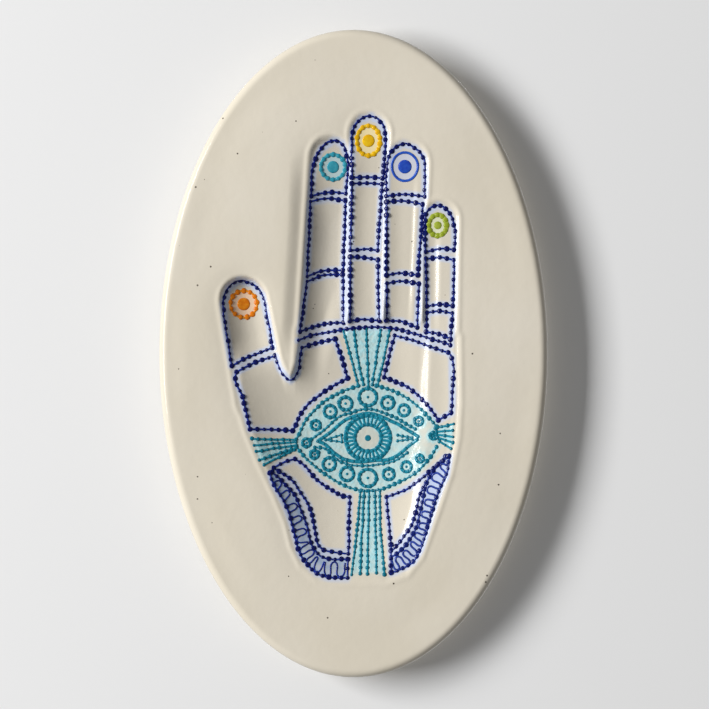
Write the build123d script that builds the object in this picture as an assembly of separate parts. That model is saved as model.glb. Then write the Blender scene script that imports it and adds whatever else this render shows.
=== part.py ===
from build123d import *
import math
import os
from dataclasses import dataclass

# A glazed oval wall plaque with a hand pressed into its face, painted with beads of enamel,
# and a D-ring hanger bedded in the hollow behind its foot ring.
# Millimetres. X runs to the right, Z up the wall, and the face looks along -Y.
# The wall is the plane Y = 0, and the oval's centre is on the Z = 0 level.

# Plaque
PLAQUE_HEIGHT = 260.0
PLAQUE_WIDTH = 156.0
SLAB_THICKNESS = 12.0
FRONT_EDGE_ROUND = 3.0
BACK_EDGE_ROUND = 2.0
FOOT_HEIGHT = 4.5
FOOT_WIDTH = 7.0
FOOT_INSET = 14.0
FOOT_EDGE_ROUND = 1.0

# Hand recess and its lip
LIP_WIDTH = 4.5
LIP_HEIGHT = 1.2
LIP_ROUND = 1.0
LIP_NOTCH_ROUND = 3.0
RECESS_DEPTH = 5.0
RIM_MARGIN = 0.28
FLOOR_ROUND = 0.6

# Enamel
ENAMEL_THICKNESS = 0.35
ENAMEL_GAP = 0.2
COBALT_BEAD_RADIUS = 0.62
COBALT_BEAD_PITCH = 2.5
COBALT_THREAD_WIDTH = 0.5
TURQUOISE_BEAD_RADIUS = 0.42
TURQUOISE_BEAD_PITCH = 1.7
TURQUOISE_THREAD_WIDTH = 0.4

# Finger bands
BAND_SPACING = 2.6
BAND_RISE = 0.8

# Fingertip rosettes
ROSETTE_DOT_RADIUS = 2.6
ROSETTE_RING_WIDTH = 1.2
ROSETTE_LOBES = 13
ROSETTE_DROP = 2.6

# Eye
EYE_CENTRE = (6.0, -34.0)
IRIS_RADIUS = 9.4
IRIS_RIM_WIDTH = 1.4
IRIS_INNER_RADIUS = 4.7
IRIS_INNER_WIDTH = 1.2
IRIS_STROKES = 28
IRIS_STROKE_WIDTH = 0.45
PUPIL_RADIUS = 1.3
RINGLET_WIDTH = 0.9
RINGLET_DOT_RADIUS = 0.6

# Cuff coils
COIL_TURNS = 15
COIL_END_SPACE = 0.7
COIL_WIDTH = 0.5

# Hanger
HANGER_HEIGHT = 70.0
STRAP_SHEET = 0.8
STRAP_WIDTH = 10.0
STRAP_LENGTH = 22.0
STRAP_CORNER_ROUND = 3.0
STRAP_HOLE_RADIUS = 1.6
STRAP_HOLE_DROP = 13.0
EPOXY_THICKNESS = 0.5
EPOXY_MARGIN = 1.5
RING_WIRE_RADIUS = 1.0
RING_SIDE = 4.0
RING_CORNER_RADIUS = 2.5
RING_END_GAP = 1.0
PIVOT_CLEARANCE = 0.05

# Levels above the wall
FACE = FOOT_HEIGHT + SLAB_THICKNESS
CREST = FACE + LIP_HEIGHT
FLOOR = FACE - RECESS_DEPTH

# Room between the hand's contour line and the recess wall
RIM_LAND = COBALT_BEAD_RADIUS + RIM_MARGIN


@dataclass
class Finger:
    """A finger's print: a round tip, a round root, and the bead bands across it.

    Bands are given as distances from the tip's centre towards the root, and tilt turns them.
    """

    name: str
    tip: tuple
    tip_radius: float
    root: tuple
    root_radius: float
    bands: tuple
    tilt: float


THUMB = Finger("thumb", (-44.0, 21.0), 8.4, (-36.5, -18.5), 9.0, (23.0,), 15.0)
INDEX = Finger("index", (-9.8, 78.0), 7.3, (-12.0, 13.0), 8.2, (13.6, 44.4), 4.0)
MIDDLE = Finger("middle", (6.2, 88.0), 6.8, (4.6, 13.5), 5.8, (17.6, 46.6), 0.0)
RING = Finger("ring", (21.4, 76.0), 7.2, (19.3, 13.5), 6.0, (12.4, 44.4), -3.0)
LITTLE = Finger("little", (34.8, 53.5), 5.9, (34.6, 10.0), 5.3, (11.8, 34.6), 0.0)
FINGERS = [THUMB, INDEX, MIDDLE, RING, LITTLE]

# Corners of the palm's print, each with the radius that rounds it
PALM_CORNERS = [
    ((-45.3, -17.0), 2.0),
    ((-36.5, -42.5), 40.0),
    ((-24.5, -69.0), 30.0),
    ((-19.5, -90.0), 12.0),
    ((24.0, -90.0), 15.0),
    ((33.0, -62.0), 40.0),
    ((40.8, -34.0), 30.0),
    ((40.8, 7.0), 2.0),
    ((27.0, 11.8), 20.0),
    ((5.0, 13.2), 40.0),
    ((-21.0, 9.0), 2.0),
    ((-22.0, -6.0), 4.0),
    ((-25.0, -11.5), 1.5),
    ((-31.0, -4.0), 2.0),
    ((-38.0, -6.0), 2.0),
]

# Contour lines on the crest of the lip, beside the fingers' own
THUMB_SIDE = [(-41.5, -29.5), (-43.6, -22.5)]
THUMB_WEB = [(-31.4, -2.5), (-29.0, -6.8), (-25.0, -11.5), (-22.4, -7.0), (-21.4, 1.0)]
LEFT_CUFF_EDGE = [(-34.0, -48.0), (-24.5, -69.0), (-21.5, -80.0), (-14.5, -87.8), (-3.0, -90.0)]
RIGHT_CUFF_EDGE = [(38.6, -41.0), (33.0, -61.0), (27.5, -78.5), (23.0, -85.5), (15.0, -89.2)]

# Bead lines on the floor of the palm
PALM_ARC = [(-21.0, 5.5), (-8.0, 9.0), (7.0, 10.6), (23.0, 8.5), (39.0, 3.5)]
UPPER_LEFT_BASE = [(-42.0, -30.5), (-24.5, -31.5)]
UPPER_LEFT_EYE = [(-24.5, -31.5), (-19.5, -21.5), (-9.5, -13.8), (-2.5, -10.0)]
UPPER_LEFT_TOP = [(-2.5, -10.0), (-7.5, 6.0), (-21.5, 2.0)]
UPPER_RIGHT_TOP = [(12.5, -9.5), (16.5, 7.5), (38.0, 0.5), (38.5, -23.5), (34.0, -27.0)]
UPPER_RIGHT_EYE = [(34.0, -27.0), (29.5, -20.5), (22.0, -13.8), (12.5, -9.5)]
LOWER_LEFT_EYE = [(-1.5, -58.0), (-8.0, -55.5), (-14.0, -51.3), (-23.5, -42.5)]
LOWER_LEFT_CORNER = [(-23.5, -42.5), (-31.0, -46.3)]
LOWER_LEFT_CUFF = [(-31.0, -46.3), (-20.5, -57.0), (-15.8, -68.5), (-13.0, -78.3), (-2.0, -80.3)]
LOWER_LEFT_SIDE = [(-2.0, -80.3), (-1.5, -58.0)]
LOWER_RIGHT_EYE = [(13.5, -58.0), (23.0, -53.5), (31.5, -46.5)]
LOWER_RIGHT_CUFF = [(31.5, -46.5), (26.2, -57.0), (22.0, -71.5), (15.0, -79.0)]
LOWER_RIGHT_SIDE = [(15.0, -79.0), (13.5, -58.0)]
LEFT_CUFF_INNER = [(-31.5, -49.0), (-23.5, -57.0), (-19.0, -68.5), (-15.5, -79.5), (-4.0, -82.8)]
RIGHT_CUFF_INNER = [(35.0, -44.0), (28.8, -56.0), (24.5, -71.0), (16.0, -81.8)]

# Turquoise lines of the eye
EYE_TOP_LEFT = [(-23.0, -35.0), (-18.5, -26.0), (-5.0, -15.5), (1.5, -13.4)]
EYE_TOP_RIGHT = [(10.5, -13.4), (18.0, -16.0), (30.0, -25.5), (33.5, -29.5)]
EYE_BOTTOM = [(-23.0, -37.5), (-12.5, -48.0), (6.0, -55.5), (25.0, -48.0), (33.5, -37.5)]
UPPER_LID_OUTER = [(-15.5, -33.0), (-7.0, -26.5), (6.5, -22.6), (16.5, -25.5), (25.5, -31.0)]
UPPER_LID_INNER = [(-14.5, -35.5), (-6.0, -29.0), (6.0, -24.4), (16.5, -27.6), (26.0, -33.5)]
LOWER_LID_INNER = [(-14.5, -35.5), (-7.0, -40.5), (6.0, -43.4), (17.0, -41.3), (26.0, -33.5)]
LOWER_LID_OUTER = [(-15.0, -38.2), (-8.0, -42.0), (6.0, -45.1), (16.5, -43.3), (25.0, -37.5)]

# Ringlets between the eye's outline and its lids, each with its outer radius
RINGLETS = [
    ((-15.0, -28.8), 2.2),
    ((-9.5, -23.3), 2.9),
    ((-3.0, -19.9), 3.1),
    ((6.0, -17.4), 3.9),
    ((14.2, -19.8), 3.0),
    ((20.7, -22.9), 2.7),
    ((26.2, -26.8), 2.0),
    ((-15.5, -41.4), 2.0),
    ((-10.2, -45.2), 2.7),
    ((-2.6, -48.8), 3.0),
    ((6.0, -50.2), 3.8),
    ((14.2, -48.9), 2.7),
    ((21.2, -46.2), 2.5),
    ((27.0, -41.8), 2.0),
    ((-19.4, -36.2), 1.9),
    ((31.8, -33.4), 1.8),
]

# Rays, each from its place by the eye to its outer end
TOP_RAYS = [
    ((2.4, -11.8), (-4.4, 8.0)),
    ((4.2, -12.0), (0.2, 8.4)),
    ((6.0, -12.2), (5.0, 8.6)),
    ((7.8, -12.0), (9.6, 8.4)),
    ((9.6, -11.8), (14.0, 8.0)),
]
LEFT_RAYS = [
    ((-24.6, -34.4), (-42.0, -33.4)),
    ((-24.6, -35.7), (-42.0, -36.2)),
    ((-24.6, -37.0), (-41.0, -39.4)),
    ((-24.6, -38.3), (-39.0, -42.4)),
    ((-24.6, -39.6), (-37.0, -45.2)),
]
RIGHT_RAYS = [
    ((35.2, -29.6), (42.0, -27.6)),
    ((35.2, -31.2), (42.0, -30.4)),
    ((35.2, -32.8), (42.0, -33.2)),
    ((35.2, -34.4), (42.0, -36.0)),
    ((35.2, -36.0), (42.0, -38.8)),
]
BOTTOM_RAYS = [
    ((1.6, -57.0), (-0.4, -88.5)),
    ((3.8, -57.0), (2.8, -88.5)),
    ((6.0, -57.0), (6.0, -88.5)),
    ((8.2, -57.0), (9.2, -88.5)),
    ((10.4, -57.0), (12.4, -88.5)),
]
CORNER_MARKS = [
    [(-11.4, -34.9), (-5.4, -32.9)],
    [(-11.4, -35.5), (-5.4, -36.2)],
    [(17.4, -33.0), (22.4, -33.3)],
    [(17.4, -35.0), (22.4, -34.6)],
]


def at_height(height):
    """The plane parallel to the wall at that height above it, facing the viewer."""
    return Plane.XZ.offset(height)


def spot(point, shape):
    """A flat shape moved to a point of the face."""
    across, up = tuple(point)[:2]
    return Pos(across, up) * shape


def curve(points):
    """A line through the points, smooth where there are more than two."""
    return Line(*points) if len(points) == 2 else Spline(*points)


def sides(points):
    """The straight stretches from each point to the next."""
    return list(zip(points, points[1:]))


def bead_line(path, bead_radius, pitch, thread_width):
    """Beads of enamel strung along a path on a thin thread, as one flat shape."""
    spaces = max(1, round(path.length / pitch))
    beads = [spot(path @ (i / spaces), Circle(bead_radius)) for i in range(spaces + 1)]
    return trace(path, line_width=thread_width) + beads


def cobalt(path):
    return bead_line(path, COBALT_BEAD_RADIUS, COBALT_BEAD_PITCH, COBALT_THREAD_WIDTH)


def turquoise(path):
    return bead_line(path, TURQUOISE_BEAD_RADIUS, TURQUOISE_BEAD_PITCH, TURQUOISE_THREAD_WIDTH)


def joined(shapes):
    """One sketch of several flat shapes."""
    return shapes[0] + shapes[1:] if len(shapes) > 1 else shapes[0]


def enamel(shape, height):
    """A flat shape laid as enamel on the surface at that height."""
    return extrude(at_height(height) * shape, amount=ENAMEL_THICKNESS)


class FingerFrame:
    """Directions and sizes along one finger, from its tip to its root."""

    def __init__(self, finger):
        self.finger = finger
        self.tip = Vector(*finger.tip)
        self.root = Vector(*finger.root)
        self.length = (self.root - self.tip).length
        self.down = (self.root - self.tip).normalized()
        self.across = Vector(-self.down.Y, self.down.X)

    def touch_points(self, side):
        """Where the straight side leaves the root's circle and meets the tip's."""
        lean = (self.finger.tip_radius - self.finger.root_radius) / self.length
        normal = self.down * lean + self.across * (side * math.sqrt(1 - lean * lean))
        return (
            self.root + normal * self.finger.root_radius,
            self.tip + normal * self.finger.tip_radius,
        )

    def crown(self):
        """The outermost point of the tip."""
        return self.tip - self.down * self.finger.tip_radius

    def half_width(self, distance):
        """Half the finger's width at a distance from the tip's centre."""
        share = distance / self.length
        return self.finger.tip_radius + (self.finger.root_radius - self.finger.tip_radius) * share

    def outline(self, first=(), last=()):
        """The finger's contour as a wire, from its left root round the tip to its right root."""
        left_root, left_tip = self.touch_points(-1)
        right_root, right_tip = self.touch_points(1)
        start = list(first) + [left_tip] if first else [left_root, left_tip]
        end = [right_tip] + list(last) if last else [right_tip, right_root]
        return Wire(
            [
                *Polyline(*start).edges(),
                ThreePointArc(left_tip, self.crown(), right_tip),
                *Polyline(*end).edges(),
            ]
        )

    def print_shape(self):
        """The whole print of the finger as a flat shape."""
        left_root, left_tip = self.touch_points(-1)
        right_root, right_tip = self.touch_points(1)
        heel = self.root + self.down * self.finger.root_radius
        sides = [
            Line(left_root, left_tip),
            ThreePointArc(left_tip, self.crown(), right_tip),
            Line(right_tip, right_root),
            ThreePointArc(right_root, heel, left_root),
        ]
        return make_face(sides)

    def band(self, distance):
        """An arc across the finger that rises towards the tip in its middle."""
        centre = self.tip + self.down * distance
        direction = self.across.rotate(Axis.Z, self.finger.tilt)
        reach = direction * self.half_width(distance)
        return ThreePointArc(centre - reach, centre - self.down * BAND_RISE, centre + reach)

    def bands(self):
        """Two bead lines at each joint, and one at the root of a finger that ends at the palm."""
        lines = []
        for distance in self.finger.bands:
            lines.append(self.band(distance))
            lines.append(self.band(distance + BAND_SPACING))
        if self.finger is not THUMB:
            lines.append(self.band(self.length))
        return lines


FRAMES = {finger.name: FingerFrame(finger) for finger in FINGERS}


def palm_print():
    corners = [point for point, radius in PALM_CORNERS]
    radii = [radius for point, radius in PALM_CORNERS]
    return make_face(FilletPolyline(*corners, radius=radii, close=True))


def hand_print():
    """The contour of the whole hand, along the middle of its bead line."""
    return joined([palm_print()] + [frame.print_shape() for frame in FRAMES.values()])


HAND = hand_print()
RECESS = offset(HAND, amount=-RIM_LAND)
FLOOR_ZONE = offset(RECESS, amount=-(FLOOR_ROUND + ENAMEL_GAP))


def on_floor(shape):
    """A flat shape laid as enamel on the recess floor, stopped short of the recess wall."""
    return enamel(shape & FLOOR_ZONE, FLOOR)


def oval(inset):
    return Ellipse(PLAQUE_WIDTH / 2 - inset, PLAQUE_HEIGHT / 2 - inset)


def lip_outline():
    """The hand's contour grown by the lip's width, with its notches rounded."""
    return offset(offset(HAND, amount=LIP_WIDTH + LIP_NOTCH_ROUND), amount=-LIP_NOTCH_ROUND)


def plaque_body():
    slab = extrude(at_height(FOOT_HEIGHT) * oval(0), amount=SLAB_THICKNESS)
    slab = fillet(slab.edges().group_by(Axis.Y)[0], FRONT_EDGE_ROUND)
    slab = fillet(slab.edges().group_by(Axis.Y)[-1], BACK_EDGE_ROUND)
    foot_shape = oval(FOOT_INSET) - oval(FOOT_INSET + FOOT_WIDTH)
    foot = extrude(at_height(0) * foot_shape, amount=FOOT_HEIGHT)
    foot = fillet(foot.edges().group_by(Axis.Y)[-1], FOOT_EDGE_ROUND)
    lip = extrude(at_height(FACE) * lip_outline(), amount=LIP_HEIGHT)
    lip = fillet(lip.edges().group_by(Axis.Y)[0], LIP_ROUND)
    recess = extrude(at_height(FLOOR) * RECESS, amount=RECESS_DEPTH + LIP_HEIGHT)
    recess = fillet(recess.edges().group_by(Axis.Y)[-1], FLOOR_ROUND)
    return slab + foot + lip - recess


def contours():
    """The bead lines on the crest of the lip, by node name."""
    nodes = {}
    for finger in (INDEX, MIDDLE, RING, LITTLE):
        nodes[f"{finger.name}_contour"] = cobalt(FRAMES[finger.name].outline())
    thumb = FRAMES["thumb"].outline(first=THUMB_SIDE, last=THUMB_WEB)
    nodes["thumb_contour"] = cobalt(thumb)
    return {name: enamel(shape, CREST) for name, shape in nodes.items()}


def finger_bands():
    return {
        f"{name}_joint_bands": on_floor(joined([cobalt(line) for line in frame.bands()]))
        for name, frame in FRAMES.items()
    }


def panel_borders():
    panels = {
        "upper_left_panel_border": [UPPER_LEFT_BASE, UPPER_LEFT_EYE, *sides(UPPER_LEFT_TOP)],
        "upper_right_panel_border": [UPPER_RIGHT_EYE, *sides(UPPER_RIGHT_TOP)],
        "lower_left_panel_border": [LOWER_LEFT_EYE, LOWER_LEFT_CORNER, LOWER_LEFT_CUFF, LOWER_LEFT_SIDE],
        "lower_right_panel_border": [LOWER_RIGHT_EYE, LOWER_RIGHT_CUFF, LOWER_RIGHT_SIDE],
        "palm_arc": [PALM_ARC],
    }
    return {
        name: on_floor(joined([cobalt(curve(points)) for points in lines]))
        for name, lines in panels.items()
    }


def coil(outer, inner):
    """A coiled stroke between two lines, as a row of rings that run into each other."""
    rings = []
    for i in range(COIL_TURNS):
        share = (i + COIL_END_SPACE) / (COIL_TURNS - 1 + 2 * COIL_END_SPACE)
        far = outer @ share
        near = inner @ share
        radius = (far - near).length / 2
        rings.append(spot((far + near) / 2, Circle(radius) - Circle(radius - COIL_WIDTH)))
    return joined(rings)


def cuff(edge, inner):
    """A cuff band: a bead line on the lip, another on the floor, and a coil between them."""
    edge_line = curve(edge)
    inner_line = curve(inner)
    floor_shape = cobalt(inner_line) + coil(edge_line, inner_line)
    return Compound(children=[enamel(cobalt(edge_line), CREST), on_floor(floor_shape)])


def rosette(finger):
    """A fingertip's round dot inside a lobed ring."""
    floor_radius = finger.tip_radius - RIM_LAND - FLOOR_ROUND - 2 * ENAMEL_GAP
    lobe = ROSETTE_RING_WIDTH / 2
    middle = floor_radius - lobe
    turn = 2 * math.pi / ROSETTE_LOBES
    places = [(middle * math.sin(i * turn), middle * math.cos(i * turn)) for i in range(ROSETTE_LOBES)]
    band = Circle(floor_radius - lobe / 2) - Circle(middle - lobe)
    ring = band + [spot(place, Circle(lobe)) for place in places]
    dot = Circle(min(ROSETTE_DOT_RADIUS, middle - lobe - ROSETTE_RING_WIDTH))
    frame = FRAMES[finger.name]
    return on_floor(spot(frame.tip + frame.down * ROSETTE_DROP, joined([ring, dot])))


def iris():
    rim = Circle(IRIS_RADIUS) - Circle(IRIS_RADIUS - IRIS_RIM_WIDTH)
    inner = Circle(IRIS_INNER_RADIUS + IRIS_INNER_WIDTH) - Circle(IRIS_INNER_RADIUS)
    reach = IRIS_RADIUS - IRIS_INNER_RADIUS - IRIS_RIM_WIDTH
    middle = IRIS_INNER_RADIUS + (IRIS_INNER_WIDTH + reach) / 2
    stroke = Pos(0, middle) * Rectangle(IRIS_STROKE_WIDTH, reach)
    strokes = [Rot(0, 0, 360 * i / IRIS_STROKES) * stroke for i in range(IRIS_STROKES)]
    return spot(EYE_CENTRE, rim + inner + strokes)


def ringlets():
    shapes = []
    for centre, radius in RINGLETS:
        shapes.append(spot(centre, Circle(radius) - Circle(radius - RINGLET_WIDTH)))
        shapes.append(spot(centre, Circle(RINGLET_DOT_RADIUS)))
    return joined(shapes)


def eye():
    """The turquoise pieces of the eye, by node name."""
    lids = [UPPER_LID_OUTER, UPPER_LID_INNER, LOWER_LID_INNER, LOWER_LID_OUTER]
    iris_room = spot(EYE_CENTRE, Circle(IRIS_RADIUS + ENAMEL_GAP))
    lid_lines = joined([turquoise(curve(points)) for points in lids])
    outline = joined([turquoise(curve(points)) for points in (EYE_TOP_LEFT, EYE_TOP_RIGHT, EYE_BOTTOM)])
    marks = joined([turquoise(curve(points)) for points in CORNER_MARKS])
    nodes = {
        "eye_outline": outline,
        "eyelids": lid_lines - iris_room,
        "iris": iris(),
        "pupil": spot(EYE_CENTRE, Circle(PUPIL_RADIUS)),
        "eye_ringlets": ringlets(),
        "eye_corner_marks": marks,
    }
    return {name: on_floor(shape) for name, shape in nodes.items()}


def rays():
    bundles = {
        "top_rays": TOP_RAYS,
        "left_rays": LEFT_RAYS,
        "right_rays": RIGHT_RAYS,
        "bottom_rays": BOTTOM_RAYS,
    }
    return {
        name: on_floor(joined([turquoise(Line(*ray)) for ray in bundle]))
        for name, bundle in bundles.items()
    }


# Hanger: the pivot's place, and the strap's leaf below it
KNUCKLE_BORE = RING_WIRE_RADIUS + PIVOT_CLEARANCE
KNUCKLE_RADIUS = KNUCKLE_BORE + STRAP_SHEET
STRAP_BACK = EPOXY_THICKNESS - FOOT_HEIGHT
PIVOT_Y = STRAP_BACK + KNUCKLE_RADIUS
HOLE_Z = HANGER_HEIGHT - STRAP_HOLE_DROP


def leaf(margin):
    """The strap's flat outline below the pivot, grown by a margin, seen from the wall."""
    length = STRAP_LENGTH + 2 * margin
    shape = RectangleRounded(STRAP_WIDTH + 2 * margin, length, STRAP_CORNER_ROUND)
    return spot((0, HANGER_HEIGHT - STRAP_LENGTH / 2), shape)


def hanger_strap():
    tube = Pos(0, PIVOT_Y, HANGER_HEIGHT) * Rot(0, 90, 0) * Cylinder(KNUCKLE_RADIUS, STRAP_WIDTH)
    bore = Pos(0, PIVOT_Y, HANGER_HEIGHT) * Rot(0, 90, 0) * Cylinder(KNUCKLE_BORE, STRAP_WIDTH)
    inner_side = at_height(-STRAP_BACK - STRAP_SHEET)
    sheet = extrude(inner_side * leaf(0), amount=STRAP_SHEET)
    corner_cover = Pos(0, STRAP_BACK + STRAP_SHEET / 2, HANGER_HEIGHT - KNUCKLE_RADIUS) * Box(
        STRAP_WIDTH, STRAP_SHEET, 2 * KNUCKLE_RADIUS
    )
    hole = extrude(inner_side * spot((0, HOLE_Z), Circle(STRAP_HOLE_RADIUS)), amount=STRAP_SHEET)
    return tube + sheet + corner_cover - bore - hole


def hanger_epoxy():
    bed = extrude(at_height(-STRAP_BACK) * leaf(EPOXY_MARGIN), amount=EPOXY_THICKNESS)
    key_radius = STRAP_HOLE_RADIUS - PIVOT_CLEARANCE
    key = extrude(
        at_height(-STRAP_BACK - STRAP_SHEET) * spot((0, HOLE_Z), Circle(key_radius)), amount=STRAP_SHEET
    )
    return bed + key


def hanger_ring():
    """A D-shaped ring of round wire, its straight bar in the knuckle, pointing up."""
    half = STRAP_WIDTH / 2 + RING_END_GAP + RING_CORNER_RADIUS
    shoulder = RING_SIDE + half
    lower = FilletPolyline(
        (-half, RING_SIDE), (-half, 0), (half, 0), (half, RING_SIDE), radius=RING_CORNER_RADIUS
    )
    bow = ThreePointArc((half, RING_SIDE), (0, shoulder), (-half, RING_SIDE))
    plane = Plane(origin=(0, PIVOT_Y, HANGER_HEIGHT), x_dir=(1, 0, 0), z_dir=(0, -1, 0))
    path = plane * Wire([*lower.edges(), bow])
    section = Plane(origin=path @ 0, z_dir=path % 0) * Circle(RING_WIRE_RADIUS)
    return sweep(section, path=path)


def all_nodes():
    nodes = {"plaque_body": plaque_body()}
    nodes.update(contours())
    nodes.update(finger_bands())
    nodes.update(panel_borders())
    nodes["left_cuff"] = cuff(LEFT_CUFF_EDGE, LEFT_CUFF_INNER)
    nodes["right_cuff"] = cuff(RIGHT_CUFF_EDGE, RIGHT_CUFF_INNER)
    nodes.update({f"{finger.name}_rosette": rosette(finger) for finger in FINGERS})
    nodes.update(eye())
    nodes.update(rays())
    nodes["hanger_strap"] = hanger_strap()
    nodes["hanger_epoxy"] = hanger_epoxy()
    nodes["hanger_ring"] = hanger_ring()
    return nodes


os.makedirs("parts", exist_ok=True)
for name, shape in all_nodes().items():
    export_step(shape, f"parts/{name}.step")
    print(name, len(shape.solids()), "solids", round(shape.volume, 2), "mm3")
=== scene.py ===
"""Dresses the hamsa hand plaque: a pressed, glazed oval with beaded enamel strokes and a steel hanger."""
import math

import bpy
import numpy as np
from bpy.props import FloatProperty, FloatVectorProperty, IntProperty, PointerProperty
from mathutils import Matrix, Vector


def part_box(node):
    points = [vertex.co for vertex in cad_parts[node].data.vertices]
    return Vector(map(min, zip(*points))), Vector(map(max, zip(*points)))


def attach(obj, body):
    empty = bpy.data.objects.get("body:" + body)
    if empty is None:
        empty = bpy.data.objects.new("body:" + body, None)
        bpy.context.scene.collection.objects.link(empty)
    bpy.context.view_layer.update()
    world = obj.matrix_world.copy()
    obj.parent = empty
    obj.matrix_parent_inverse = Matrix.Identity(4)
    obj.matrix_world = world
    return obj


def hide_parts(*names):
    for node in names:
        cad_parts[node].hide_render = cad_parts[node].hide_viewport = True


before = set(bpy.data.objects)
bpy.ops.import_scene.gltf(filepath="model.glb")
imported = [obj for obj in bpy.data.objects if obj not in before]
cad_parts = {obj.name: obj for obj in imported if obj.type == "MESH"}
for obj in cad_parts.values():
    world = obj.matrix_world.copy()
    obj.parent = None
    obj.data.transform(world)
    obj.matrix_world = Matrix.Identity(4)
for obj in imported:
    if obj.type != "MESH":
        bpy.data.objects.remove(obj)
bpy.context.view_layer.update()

bl_info = {
    "name": "Hamsa Hand Plaque",
    "version": (1, 0, 0),
    "blender": (4, 5, 0),
    "location": "View3D > Sidebar > Plaque",
    "description": "Builds the glaze, enamel and hanger of a hand-pressed wall plaque",
    "category": "Object",
}

BODY_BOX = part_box("plaque_body")
MM = 0.001
PLAQUE = "plaque"

# The face's drawing is in millimetres: x to the right, z up, from the oval's centre.
# A finger's print: tip x, tip z, tip radius, root x, root z, root radius, depth, reach of the left wall.
# For the right wall: the depth's share at its edge, and the middle and half-width of its slope from there.
FINGER_PRINTS = {
    "thumb": (-44.0, 21.0, 7.9, -36.5, -18.5, 8.7, 5.0, 15.0, 0.85, 4.0, 4.0),
    "index": (-9.2, 78.2, 7.0, -13.5, -16.0, 8.7, 5.4, 15.0, 0.9, 3.0, 2.0),
    "middle": (6.3, 88.0, 6.7, 4.5, 13.0, 5.8, 2.2, 10.0, 0.6, 2.5, 2.5),
    "ring": (21.1, 76.2, 7.3, 19.6, 13.0, 6.2, 1.5, 8.0, 0.5, 4.6, 1.0),
    "little": (34.6, 53.6, 5.9, 34.4, 9.0, 5.4, 1.7, 4.5, 0.38, 8.0, 1.4),
}
# The palm's outline, and the two sides of the print that its slopes run along.
INDEX_LEFT_SIDE = [(-22.4, -2.0), (-20.6, 14.0), (-18.2, 50.0), (-17.2, 76.0), (-14.0, 86.0)]
PALM_EDGE = [
    (-45.6, -16.0), (-41.5, -30.2), (-36.5, -42.5), (-30.0, -56.3), (-25.4, -67.5), (-23.2, -76.5),
    (-19.8, -83.5), (-14.0, -88.4), (-6.0, -90.2), (12.5, -90.0), (20.5, -87.0), (25.8, -80.5),
    (32.4, -62.0), (37.4, -47.0), (40.2, -33.5), (41.0, -20.0), (40.8, 6.5), (27.0, 12.0),
    (5.0, 13.5), (-21.2, 9.5), (-21.8, -4.0), (-23.2, -9.0), (-25.4, -10.9), (-28.4, -8.4),
    (-31.4, -1.6), (-38.0, -4.0),
]
PALM_RIGHT_SIDE = [
    (42.5, 30.0), (42.5, -20.0), (41.7, -33.5), (38.9, -47.4), (33.9, -62.4), (27.2, -81.2), (21.4, -88.3),
]

# Where each bead band crosses its finger: (left end, right end), from the tip down.
FINGER_STATIONS = {
    "thumb": [((-48.8, -5.0), (-32.4, 2.2))],
    "index": [
        ((-17.0, 63.2), (-3.0, 64.4)), ((-17.3, 61.0), (-3.0, 61.6)), ((-18.7, 31.0), (-4.2, 33.7)),
        ((-18.7, 29.0), (-4.2, 32.0)), ((-21.5, 8.7), (-4.0, 12.4)),
    ],
    "middle": [
        ((-0.6, 70.5), (11.8, 70.4)), ((-0.6, 68.1), (11.4, 68.1)), ((-1.3, 41.4), (9.8, 41.4)),
        ((-1.4, 38.7), (9.9, 37.6)), ((-1.4, 13.2), (10.2, 13.4)),
    ],
    "ring": [
        ((13.2, 63.2), (28.6, 62.8)), ((13.3, 60.8), (27.8, 59.8)), ((13.2, 31.3), (25.9, 31.5)),
        ((13.4, 28.3), (26.3, 27.9)), ((13.3, 13.4), (25.6, 10.5)),
    ],
    "little": [
        ((28.8, 40.8), (40.3, 41.6)), ((29.0, 38.2), (40.3, 37.5)), ((29.4, 18.9), (40.0, 19.0)),
        ((29.4, 16.3), (39.6, 16.2)), ((29.3, 8.6), (39.0, 5.7)),
    ],
}

# The arch of beads over each fingertip, between the ends of its first band.
FINGER_ARCHES = {
    "thumb": [(-51.2, 10.2), (-52.2, 20.2), (-50.2, 26.4), (-46.0, 29.3), (-40.6, 28.0), (-36.6, 23.4),
              (-34.6, 14.2)],
    "index": [(-16.2, 75.4), (-13.0, 82.0), (-7.8, 85.5), (-4.8, 84.4), (-2.4, 78.6), (-2.2, 73.0)],
    "middle": [(-0.7, 82.0), (-0.2, 89.4), (2.6, 93.6), (7.0, 95.0), (11.2, 92.4), (12.8, 87.0),
               (12.6, 80.0)],
    "ring": [(13.6, 75.4), (15.4, 81.2), (19.8, 83.9), (24.2, 82.6), (27.8, 78.8), (28.6, 72.0)],
    "little": [(28.6, 51.4), (29.2, 56.4), (33.8, 59.4), (38.2, 56.6), (40.4, 50.6), (40.6, 45.0)],
}
BAND_RISE = {"thumb": 0.6, "index": 1.1, "middle": 0.4, "ring": 0.9, "little": 0.7}

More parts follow.
